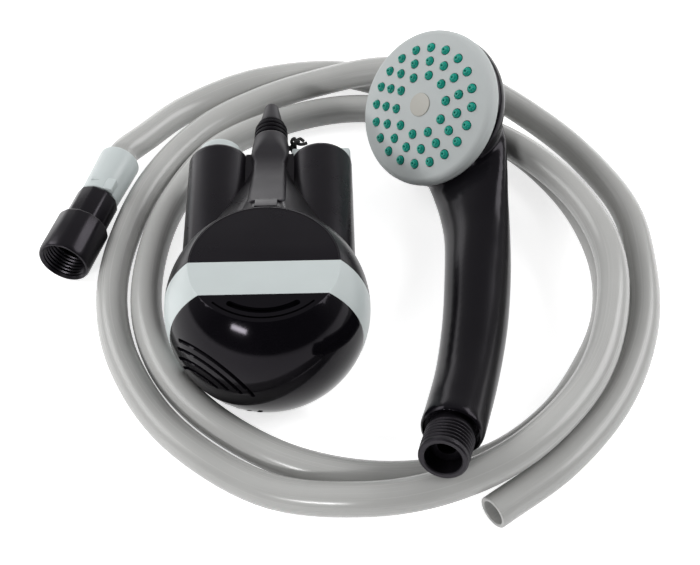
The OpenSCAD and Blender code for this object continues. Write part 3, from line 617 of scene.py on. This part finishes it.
def pale_trim():
    return moulded("pale_trim", tuple(colours().trim), 0.36, 0.05, 0.03, 1200.0, 0.00002)


def face_grey():
    return moulded("face_grey", tuple(colours().face), 0.4, 0.05, 0.04, 1600.0, 0.000035)


def cap_grey():
    """The spray face's grey, lighter and warmer"""
    warm = shade((1.1, 1.07, 0.97), sum(colours().face) / 3)
    return moulded("cap_grey", warm, 0.4, 0.05, 0.04, 1600.0, 0.00002)


def nozzle_rubber():
    return moulded("nozzle_rubber", tuple(colours().nozzles), 0.36, 0.06, 0.12, 1500.0, 0.00003, 0.28)


def cord_black():
    return moulded("cord_black", tuple(colours().casing), 0.6, 0.06, 0.15, 900.0, 0.00004, specular=0.25)


def soft_rubber():
    return moulded("soft_rubber", (0.02, 0.02, 0.02), 0.6, 0.06, 0.15, 900.0, 0.00004)


def hose_vinyl():
    """Vinyl hose: faint lengthwise drawing lines and slow colour change along it"""
    m, tree, shader, coords = finish_nodes("hose_vinyl")
    lines = add_noise(tree, add_stretch(tree, coords.outputs["UV"], (46.0, 3.0, 1.0)), 1.0, 4.0)
    cloud = add_noise(tree, coords.outputs["Object"], 26.0, 3.0)
    c = tuple(colours().hose)
    link = tree.links.new
    link(add_tint(tree, add_range(tree, cloud, 0, 1), shade(c, 0.96), shade(c, 1.04)),
         shader.inputs["Base Color"])
    link(add_range(tree, lines, 0.2, 0.3), shader.inputs["Roughness"])
    link(add_bump(tree, lines, 0.3, 0.00006), shader.inputs["Normal"])
    return m


def bright_steel():
    """Drawn steel: fine lines along the pump and an uneven polish"""
    m, tree, shader, coords = finish_nodes("bright_steel")
    lines = add_noise(tree, add_stretch(tree, coords.outputs["Object"], (1500.0, 60.0, 1500.0)), 1.0, 2.0)
    link = tree.links.new
    link(add_tint(tree, add_range(tree, lines, 0, 1), (0.5, 0.5, 0.52), (0.6, 0.6, 0.62)),
         shader.inputs["Base Color"])
    link(add_range(tree, lines, 0.25, 0.38), shader.inputs["Roughness"])
    shader.inputs["Metallic"].default_value = 1.0
    return m


# Pieces


class StageOperator(bpy.types.Operator):
    """Camera at the photograph's angle, soft lights and a pale floor"""

    bl_idname = "showerkit.stage"
    bl_label = "Stage"

    def execute(self, context):
        scene = context.scene
        scene.view_settings.view_transform = "Standard"
        level = math.cos(CAMERA_TILT)
        forward = Vector((CAMERA_HEADING[0] * level, CAMERA_HEADING[1] * level, -math.sin(CAMERA_TILT)))
        deselect()
        bpy.ops.object.camera_add(location=CAMERA_PLACE * MM)
        camera = context.object
        camera.rotation_euler = forward.to_track_quat("-Z", "Y").to_euler()
        camera.data.sensor_fit = "HORIZONTAL"
        camera.data.sensor_width = SENSOR
        camera.data.lens = FOCAL_PIXELS / IMAGE_PIXELS * SENSOR
        camera.data.clip_start = 0.01
        scene.camera = camera

        world = bpy.data.worlds.new("studio")
        world.use_nodes = True
        tree = world.node_tree
        toward = add_parts(tree, tree.nodes.new("ShaderNodeTexCoord").outputs["Generated"])["Y"]
        background = tree.nodes["Background"].inputs
        background["Color"].default_value = (1, 1, 1, 1)
        tree.links.new(add_range(tree, toward, 0.05, 0.48, -0.45, 0.15), background["Strength"])
        scene.world = world

        # lamps: name, place and aim in metres, width, height and watts
        lamps = [
            ("left_light", (-1.3, 0.3, 0.95), (0.0, 0.03, 0.0), 1.4, 0.7, 13),
            ("right_light", (1.3, 0.3, 0.95), (0.0, 0.03, 0.0), 1.4, 0.7, 15),
            ("back_strip", (0.0, 1.7, 0.25), (0.0, 0.1, 0.0), 3.2, 0.45, 7),
            ("window_light", (-0.66, -1.08, 0.62), (0.0, 0.0, 0.03), 0.4, 0.12, 7),
        ]
        for name, place, aim, wide, high, power in lamps:
            deselect()
            bpy.ops.object.light_add(type="AREA", location=place)
            lamp = context.object
            lamp.name = name
            lamp.rotation_euler = (Vector(aim) - Vector(place)).to_track_quat("-Z", "Y").to_euler()
            lamp.data.shape = "RECTANGLE"
            lamp.data.size = wide
            lamp.data.size_y = high
            lamp.data.energy = power

        deselect()
        bpy.ops.mesh.primitive_plane_add(size=40, location=(0, 0, -0.0002))
        floor = context.object
        floor.name = "floor"
        m, tree, shader, _ = finish_nodes("white_table")
        shader.inputs["Base Color"].default_value = (0.9, 0.9, 0.9, 1)
        shader.inputs["Roughness"].default_value = 0.7
        path = tree.nodes.new("ShaderNodeLightPath").outputs
        seen = add_math(tree, "ADD", path["Is Camera Ray"], path["Is Glossy Ray"])
        seen = add_math(tree, "ADD", seen, path["Is Transmission Ray"])
        shader.inputs["Emission Color"].default_value = (1, 1, 1, 1)
        tree.links.new(add_math(tree, "MULTIPLY", seen, FLOOR_GLOW), shader.inputs["Emission Strength"])
        floor.data.materials.append(m)
        return {"FINISHED"}


class HoseOperator(bpy.types.Operator):
    """Grey hose, laid in loose turns from the tail's socket to its bare cut end"""

    bl_idname = "showerkit.hose"
    bl_label = "Hose"

    def execute(self, context):
        s = sizes()
        path = smooth_line(HOSE_ROUTE, 8)
        obj = swept("hose_line", path, s.hose_diameter / 2 / MM, 32, s.hose_bore / 2 / MM)
        done(obj, hose_vinyl(), KIT, "hose_vinyl", "hose", angle=60)
        return {"FINISHED"}


class NutOperator(bpy.types.Operator):
    """Hose tail with its pale collar, and the black swivel nut with its inner thread"""

    bl_idname = "showerkit.nut"
    bl_label = "Swivel nut and tail"

    def execute(self, context):
        nut = prism("nut_body", sizes().nut_flats, 13, 0, 24, 1.2)
        lip = turned("nut_lip", outline(
            (0, -0.01), (12.15, -0.01, 0.9), (13.2, 3.4), (13.2, 24.1), (0, 24.1)), 96)
        cut(nut, lip, operation="INTERSECT")
        cut(nut, prism("nut_neck", 10, 10.6, 23.5, 42, 1.0), operation="UNION")
        ridges = [(0, -1), (11.4, -1), (11.4, 0.2), (10.5, 1.2)]
        for k in range(6):
            z = 2.0 + 1.9 * k
            ridges += [(10.5, z), (9.9, z + 0.55), (9.9, z + 0.85), (10.5, z + 1.4)]
        ridges += [(10.5, 14.3), (10.8, 14.5), (10.8, 20), (7.25, 20), (7.25, 44), (0, 44)]
        cut(nut, turned("nut_core", ridges, 64))
        done(nut, black_satin(), "swivel_nut", "casing_black", "swivel_nut", place=NUT, angle=30)

        collar = turned("tail_collar", outline(
            (4, 16.6), (9.7, 16.6, 0.4), (9.7, 19.6, 0.3), (6.9, 19.6), (6.9, 42.4), (9.45, 42.4, 0.5),
            (9.6, 46), (10.4, 70.4, 1.0), (7.6, 70.4, 0.4), (7.6, 52), (4, 52), (4, 16.6)), 80)
        bar = block("collar_bar", (-4.2, -9.9, 46.6), (-0.2, -8.4, 47.4), 0.3)
        lug = block("collar_lug", (3.4, -9.5, 42.5), (8.2, -5.4, 49.6), 0.5)
        join(collar, bar, lug)
        done(collar, pale_trim(), KIT, "pale_plastic", "hose_tail", place=NUT)
        return {"FINISHED"}


class CasingOperator(bpy.types.Operator):
    """Upper casing with its battery tubes, the belt and the slotted intake dome"""

    bl_idname = "showerkit.casing"
    bl_label = "Pump casing"

    def execute(self, context):
        s = sizes()
        upper = globe("casing_shell", BELT_TOP + SEAM, None, True)
        soften(upper, 0.0011, 20, 3)
        tube = turned("battery_tube", outline(
            (0, 3), (TUBE_R, 3), (TUBE_R, TUBE_END), (13.5, TUBE_END), (13.5, 81), (0, 81)), 96)
        left = copy_of(tube)
        cut(upper, shift(tube, x=TUBE_X), shift(left, x=-TUBE_X), operation="UNION")
        line = flare_line(83.6)
        line = [(0, FLARE_LOW)] + line + [(line[-1][0] - 0.3, 84.1), (0, 84.1)]
        flare = turned("casing_flare", line, 144)
        web = block("tube_web", (-20, 9.6, 34), (20, 12, 84))
        tab = block("pad_tab", (-5.0, -0.45, -4.2), (5.0, 1.5, 4.2), 0.4)
        tab_z = 36.5
        set_place(tab, Matrix.Translation(Vector((0, -flare_at(tab_z), tab_z)) * MM)
                  @ Matrix.Rotation(-FLARE_ANGLE, 4, "X"))
        fill = block("tube_fill", (-13, -7.2, 70), (13, 7.2, 89.4))
        room_r, room_low = TUBE_R + 0.15, TUBE_END - SEAM
        for x in (-TUBE_X, TUBE_X):
            room = turned("cap_room", [(0, room_low), (room_r, room_low), (room_r, 95), (0, 95)], 96)
            cut(fill, shift(room, x=x))
        seat = turned("riser_seat", [(0, 43.9), (9.3, 43.9), (9.3, 90), (0, 90)], 64)
        cut(upper, flare, web, fill, operation="UNION")
        cut(upper, seat)
        cut(upper, tab, operation="UNION")
        join(upper, self.flat_rim())
        done(upper, black_satin(), KIT, "casing_black", "upper_casing", place=PUMP, angle=28)

        belt = globe("belt_ring", BELT_LOW, BELT_TOP, False)
        modifier(belt, "SOLIDIFY", thickness=s.wall, offset=-1)
        soften(belt, 0.0004, 20, 3)
        done(belt, pale_trim(), KIT, "pale_plastic", "belt_band", place=PUMP, angle=28)

        dome = globe("dome_shell", None, BELT_LOW - SEAM, False)
        modifier(dome, "SOLIDIFY", thickness=s.wall, offset=-1)
        soften(dome, s.edge, 20, 2)
        cutters = [self.arc("wide_arc", 26.0, 2.7, 32, 2.0), self.arc("thin_arc", 29.7, 0.9, 44, 0.8)]

        # each ring has a long slot and a short one beyond a gap
        for angle, start, end in SLOT_RINGS:
            for low, high in ((start, end), (-51 - start, -38 - start)):
                cutters.append(self.ring_slot(angle, low, high))
        cut(dome, *cutters)
        done(dome, black_gloss(), KIT, "casing_black", "intake_dome", place=PUMP, angle=28)
        return {"FINISHED"}

    def flat_rim(self):
        """A thin sloped rim along the front flat's edge, above the belt"""
        r = math.sqrt((sizes().globe_radius / MM) ** 2 - FLAT_H ** 2)
        rim = turned("flat_rim", [
            (r - 0.8, FLAT_H - 0.6), (r + 0.05, FLAT_H - 0.6), (r + 0.05, FLAT_H - 0.15),
            (r - 0.75, FLAT_H + 0.16), (r - 0.8, FLAT_H - 0.1), (r - 0.8, FLAT_H - 0.6)], 144)
        set_place(rim, Matrix.Rotation(math.radians(90), 4, "X"))
        cut_plane(rim, (0, 0, 0.6 * MM), (0, 0, -1), True)
        tidy_mesh(rim)
        return rim

    def arc(self, name, radius, width, half, depth):
        """An arc-shaped cutter on the front flat"""
        obj = slab(name, arc_outline(radius, width, -90 - half, -90 + half), depth + 2)
        return shift(obj, y=-FLAT_H + depth)

    def ring_slot(self, angle, start, end):
        """A curved cutter for one intake slot, about an axis at the lower left of the dome"""
        s = sizes()
        globe_r, inner_r, width = s.globe_radius / MM, (s.globe_radius - s.wall) / MM, 1.7
        r = globe_r * math.sin(math.radians(angle))
        low = math.sqrt(inner_r ** 2 - (r + width) ** 2) - 1
        return set_place(
            slab("ring_slot", arc_outline(r, width, start, end), globe_r),
            SLOT_AXIS @ Matrix.Translation((0, 0, low * MM)) @ Matrix.Rotation(math.radians(-90), 4, "X"))


class CapsOperator(bpy.types.Operator):
    """Rounded tube caps, the power button and the grip bar"""

    bl_idname = "showerkit.caps"
    bl_label = "Caps, button and grip"

    def execute(self, context):
        skirt = [
            (TUBE_R, CAP_FOOT), (13.2, CAP_FOOT), (13.15, 85.2), (11.6, 85.2), (11.6, 86.75), (0, 86.75)]
        left = turned("cap_left", outline(
            (0, 87.9), (10.85, 87.9), (10.85, CAP_TOP, 0.4), (TUBE_R, CAP_TOP, 2.6), *skirt, steps=8), 96)
        done(shift(left, x=-TUBE_X), black_satin(), "left_cap", "casing_black", "left_cap", place=PUMP)
        right = turned("cap_right", outline((0, CAP_TOP), (TUBE_R, CAP_TOP, 3.0), *skirt, steps=8), 96)
        done(shift(right, x=TUBE_X), black_satin(), "right_cap", "casing_black", "right_cap", place=PUMP)

        button_r, rise, button_top = 10.5, 2.6, 99.9
        dome_r = (button_r ** 2 + rise ** 2) / (2 * rise)
        crown = [(dome_r * math.sin(a), button_top - dome_r + dome_r * math.cos(a))
                 for a in (math.asin(9.4 / dome_r) * k / 14 for k in range(15))]
        edge = outline(crown[-1], (10.45, 97.3, 0.8), (10.45, 89.5, 0.3), (0, 89.5))
        button = turned("button_dome", crown[:-1] + [tuple(p) for p in edge], 72)
        shift(button, x=-TUBE_X)
        done(button, pale_trim(), "power_button", "pale_plastic", "power_button", place=PUMP)

        grip = turned("grip_bar", outline(
            (0, 96.6), (14.35, 96.6, 1.0), (14.35, CAP_TOP), (0, CAP_TOP)), 96)
        sides = [block("grip_side", (-20, y, 85), (20, y + 20, 100)) for y in (3.5, -23.5)]
        cut(grip, *sides)
        soften(grip, 0.0007, 30, 3)
        done(shift(grip, x=TUBE_X), pale_trim(), "right_cap", "pale_plastic", "cap_grip", place=PUMP)
        return {"FINISHED"}


class SpoutOperator(bpy.types.Operator):
    """Outlet riser with its hourglass pad, ribbed collar and cone, and the tie cord"""

    bl_idname = "showerkit.spout"
    bl_label = "Outlet and tie cord"

    def execute(self, context):
        top = turned("outlet_top", outline(
            (2.2, 98), (7.2, 98), (7.2, 106.0), (8.25, 106.1, 0.4), (8.25, 108.1, 0.6),
            (7.3, 108.4), (7.3, 108.8), (8.15, 109.0, 0.4), (8.15, 110.8, 0.6),
            (7.2, 111.1), (7.2, 111.5), (7.9, 111.7, 0.4), (7.9, 113.4, 0.6),
            (6.5, 113.8), (6.5, 114.2), (6.9, 114.4, 0.4), (6.9, 116.0, 0.6), (5.75, 116.5), (5.6, 118, 4),
            (3.3, 129.5, 0.5), (2.9, 130.05, 0.2), (2.2, 130.0), (2.2, 98), steps=5), 80)
        riser = self.riser()
        body = turned("riser_body", outline(
            (0, 70), (9.6, 70), (9.6, 92, 4), (8.2, 97, 6), (7.9, RISER_TOP - 0.1, 0.4), (7, RISER_TOP),
            (0, RISER_TOP), steps=8), 80)
        peg = turned("cord_peg", outline(
            (0, 0), (1.3, 0), (1.3, 11.7), (2.0, 11.8, 0.2), (2.0, 12.6, 0.2), (0, 12.6)), 24)
        set_place(peg, Matrix.Translation((0, 0, CORD_Z * MM)) @ Matrix.Rotation(math.radians(90), 4, "Y"))
        join(riser, body, top, peg)
        done(riser, black_ribbed(), KIT, "casing_black", "outlet_spout", place=PUMP, angle=40)

        centre = Vector((10.5, 0, CORD_Z))
        ring = [centre + 2.25 * Vector((0.15 * math.sin(2 * a), -math.cos(a), math.sin(a)))
                for a in (math.tau * k / 32 for k in range(33))]
        knot = centre + Vector((1.4, -4.2, 0.1))
        turns = [
            knot + Vector((1.3 * math.cos(a) + 0.4 * math.cos(3 * a), 1.3 * math.sin(2 * a), 1.3 * math.sin(a)))
            for a in (math.tau * k / 40 for k in range(41))]
        ends = [smooth_line([knot] + [knot + Vector(d) for d in line], 6) for line in (
            [(2.2, -0.4, 1.6), (3.3, 0.2, 1.5), (4.2, 0.4, 0.7)],
            [(1.8, 0.5, -1.1), (3.8, 0.3, -1.5), (5.8, -0.4, -1.3)])]
        strands = [swept("tie_strand", p, 0.8, 10) for p in (ring, turns, *ends)]
        tie = strands[0]
        join(*strands)
        tie.name = "tie_strands"
        done(tie, cord_black(), KIT, "cord_black", "tie_cord", place=PUMP, angle=60)
        return {"FINISHED"}

    def riser(self):
        """Riser whose front strip follows the flare a little proud of it and narrows between the tubes"""
        low, high, waist = 38.6, RISER_TOP + SEAM, 80
        proud, foot_round, edge_round = 0.9, 3.5, 2.4
        heights = [low + d for d in (0, 0.2, 0.45, 0.8, 1.2, 1.7, 2.3, 3, 4)]
        heights += [low + d for d in range(6, 44, 2)] + [82.5 + 0.75 * k for k in range(16)]
        heights += [96 + 1.5 * k for k in range(6)] + [high - d for d in (0.9, 0.5, 0.2, 0)]
        rows = []
        for z in heights:
            up = z - low

            # half width: an hourglass with its waist between the tubes and a rounded foot
            wide = 7.55 + 1.3 * max(0, (waist - z) / 34) ** 0.8 + 1.4 * ease((z - waist) / 8)
            wide -= 0.65 * max(0, z - 98) / 7.5
            if up < foot_round:
                wide += math.sqrt(foot_round ** 2 - (foot_round - up) ** 2) - foot_round

            # front: proud of the flare and as round as it low down, drawn in and rounder toward the top
            flare = flare_at(z)
            front = flare + proud - 2.1 * max(0, (z - 86) / 18.6) ** 2 - 1.4 * max(0, 1 - up / 0.7) ** 2
            follow = min(1, max(0, (76 - z) / 34))
            corner = edge_round + (0.95 * wide - edge_round) * ease((z - 84) / 19)
            shrink = 0.4 * max(0, 1 - (high - z) / 0.9) ** 2
            wide, front = wide - shrink, front - shrink
            points = []
            for side in (1, -1):
                arc = [(side * (wide - corner + corner * math.cos(a)), corner - front - corner * math.sin(a))
                       for a in (math.pi / 2 * k / 10 for k in range(11))]
                arc = [(x, y + follow * (flare - math.sqrt(flare * flare - x * x))) for x, y in arc]
                points += arc if side == 1 else list(reversed(arc))
            back = min(8.97, wide + 0.4)
            points += [(-wide * math.cos(a), back * math.sin(a))
                       for a in (math.pi * k / 20 for k in range(21))]
            rows.append([(x, y, z) for x, y in points])
        return lofted("outlet_riser", rows)


class HandsetOperator(bpy.types.Operator):
    """Black handle that flows into the head's back, with the threaded inlet"""

    bl_idname = "showerkit.handset"
    bl_label = "Hand shower handle"

    def execute(self, context):
        line = smooth_line(HANDLE_LINE, 6)
        across, sides, fullness = Vector((1, 0, 0)), 48, 0.96
        rows = []
        for i, (along, height, half_width, half_depth) in enumerate(line):
            a, b = line[max(i - 1, 0)], line[min(i + 1, len(line) - 1)]
            up = across.cross(Vector((0, b[0] - a[0], b[1] - a[1])).normalized())
            row = []
            for k in range(sides):
                turn = math.tau * k / sides
                c, s = (math.copysign(abs(v) ** fullness, v) for v in (math.cos(turn), math.sin(turn)))
                row.append(Vector((0, along, height)) + half_width * c * across + half_depth * s * up)
            rows.append(row)
        shell = lofted("handle_shell", rows)

        cup_r, cup_deep = 38.0, 17
        back = [(cup_r * math.cos(a), -cup_deep * math.sin(a))
                for a in (math.radians(5 * k) for k in range(19))]
        cup = turned("head_cup", [(0, 3.8), (37.4, 3.8), (cup_r, 3.2)] + back, 96)
        cut(shell, set_place(cup, HAND.inverted() @ HEAD), operation="UNION")
        modifier(shell, "REMESH", mode="VOXEL", voxel_size=0.0011)
        modifier(shell, "SMOOTH", factor=0.5, iterations=28)
        recess = turned("inlet_recess", outline((0, 10), (11.9, 10), (11.9, 18.5, 0.5), (0, 18.5)), 64)
        lie = Matrix.Rotation(math.radians(-90), 4, "X")
        cut(shell, set_place(recess, lie))
        done(shell, black_handle(), KIT, "casing_black", "handset_shell", place=HAND, angle=50)

        place = HAND @ lie
        thread = [(7.7, 0.4), (8.2, 0), (9.6, 0), (10.2, 0.5), (10.3, 1.2), (10.2, 2.4), (9.6, 2.9)]
        for k in range(6):
            z = 3.2 + 1.9 * k
            thread += [(9.6, z), (10.4, z + 0.6), (10.4, z + 0.9), (9.6, z + 1.5)]
        thread += [(9.6, 19), (10.0, 19), (10.0, 25.4), (7.7, 25.4), (7.7, 0.4)]
        inlet = turned("inlet_thread", thread, 80)
        done(inlet, black_soft(), KIT, "casing_black", "inlet_spigot", place=place)
        disc = turned("inlet_disc", outline((4, 8, 0.1), (7.6, 8, 0.3), (7.6, 10), (4, 10), (4, 8)), 48)
        done(disc, black_satin(), KIT, "inner_plastic", "flow_disc", place=place)
        return {"FINISHED"}


class FaceOperator(bpy.types.Operator):
    """Crowned spray face with its rings of nozzle nubs and the centre cap"""

    bl_idname = "showerkit.face"
    bl_label = "Spray face"

    def crown(self, r):
        """Height of the crowned face at a radius"""
        big = sizes().crown_radius / MM
        return 15.0 - big + math.sqrt(big * big - r * r)

    def execute(self, context):
        top = [(r, self.crown(r)) for r in (0, 4, 8, 12, 16, 20, 24, 28, 31, 33)]
        rim = outline((33, self.crown(33)), (38.0, self.crown(38.0) + 0.3, 3.6), (38.5, 6.2, 2.0),
                      (38.2, 4.05, 0.5), (35.9, 4.05), (35.9, 9), (0, 9), steps=10)
        face = turned("spray_plate", top[:-1] + [tuple(p) for p in rim], 128)
        holes, nubs = [], []
        hole = turned("nub_hole", [(0, 6), (2.45, 6), (2.45, 18), (0, 18)], 20)
        nub = turned("nozzle_nub", outline(
            (0, -4.6), (2.1, -4.6), (2.1, 0.55, 0.5), (1.45, 0.95, 0.25), (1.25, 1.85, 0.25),
            (0.55, 1.85, 0.1), (0.5, 0.7), (0, 0.7), steps=4), 20)
        for count, r, start in NOZZLE_RINGS:
            for k in range(count):
                a = math.radians(start + 360 * k / count)
                x, y = r * math.cos(a), r * math.sin(a)
                holes.append(shift(copy_of(hole), x, y))
                nubs.append(shift(copy_of(nub), x, y, self.crown(r)))
        bpy.data.objects.remove(hole)
        bpy.data.objects.remove(nub)
        cut(face, join(*holes))
        done(face, face_grey(), KIT, "face_grey", "spray_face", place=HEAD, angle=30)
        mat = turned("nozzle_sheet", outline((0, 7.8), (35.4, 7.8), (35.4, 8.9), (0, 8.9)), 64)
        join(mat, *nubs)
        done(mat, nozzle_rubber(), KIT, "nozzle_teal", "nozzle_mat", place=HEAD, angle=40)
        cap = turned("centre_disc", outline((0, 15.35), (5.8, 15.4, 0.3), (5.8, 14.7), (0, 14.7)), 64)
        done(cap, cap_grey(), KIT, "face_grey", "centre_cap", place=HEAD)
        return {"FINISHED"}


class WorksOperator(bpy.types.Operator):
    """Finishes for the works inside the pump and the hand shower"""

    bl_idname = "showerkit.works"
    bl_label = "Inner works"

    def execute(self, context):
        groups = {
            "steel": ("lower_contacts", "left_contact", "right_contact", "motor_can", "motor_shaft",
                      "volute_screws", "face_screw"),
            "black": ("bulkhead", "volute_housing", "delivery_pipe"),
            "pale": ("impeller",),
            "rubber": ("cap_gaskets", "shaft_seal", "nut_washer", "face_seal"),
            "sleeve": ("left_lower_cell", "left_upper_cell", "right_lower_cell", "right_upper_cell"),
            "lead": ("motor_leads",),
        }
        finishes = {
            "steel": bright_steel(), "black": black_satin(), "pale": pale_trim(), "rubber": soft_rubber(),
            "sleeve": moulded("cell_sleeve", (0.32, 0.22, 0.06), 0.3, 0.05, 0.1),
            "lead": moulded("red_lead", (0.4, 0.02, 0.015), 0.4, 0.05, 0.1),
        }
        for finish, nodes in groups.items():
            for node in nodes:
                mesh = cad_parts[node].data
                mesh.materials.clear()
                mesh.materials.append(finishes[finish])
        return {"FINISHED"}


class KitPanel(bpy.types.Panel):
    bl_idname = "SHOWERKIT_PT_pieces"
    bl_label = "Shower kit"
    bl_space_type = "VIEW_3D"
    bl_region_type = "UI"
    bl_category = "Shower kit"

    def draw(self, context):
        for group in (context.scene.kit_sizes, context.scene.kit_colours):
            for name in group.__annotations__:
                self.layout.prop(group, name)
        for operator in OPERATORS:
            self.layout.operator(operator.bl_idname)


# The nut comes before the hose
OPERATORS = (StageOperator, NutOperator, HoseOperator, CasingOperator, CapsOperator, SpoutOperator,
             HandsetOperator, FaceOperator, WorksOperator)
CLASSES = (KitSizes, KitColours, *OPERATORS, KitPanel)


def register():
    for c in CLASSES:
        bpy.utils.register_class(c)
    bpy.types.Scene.kit_sizes = PointerProperty(type=KitSizes)
    bpy.types.Scene.kit_colours = PointerProperty(type=KitColours)


def unregister():
    del bpy.types.Scene.kit_colours
    del bpy.types.Scene.kit_sizes
    for c in reversed(CLASSES):
        bpy.utils.unregister_class(c)


def main():
    register()
    for operator in OPERATORS:
        group, name = operator.bl_idname.split(".")
        getattr(getattr(bpy.ops, group), name)()
    deselect()


if __name__ == "__main__":
    main()
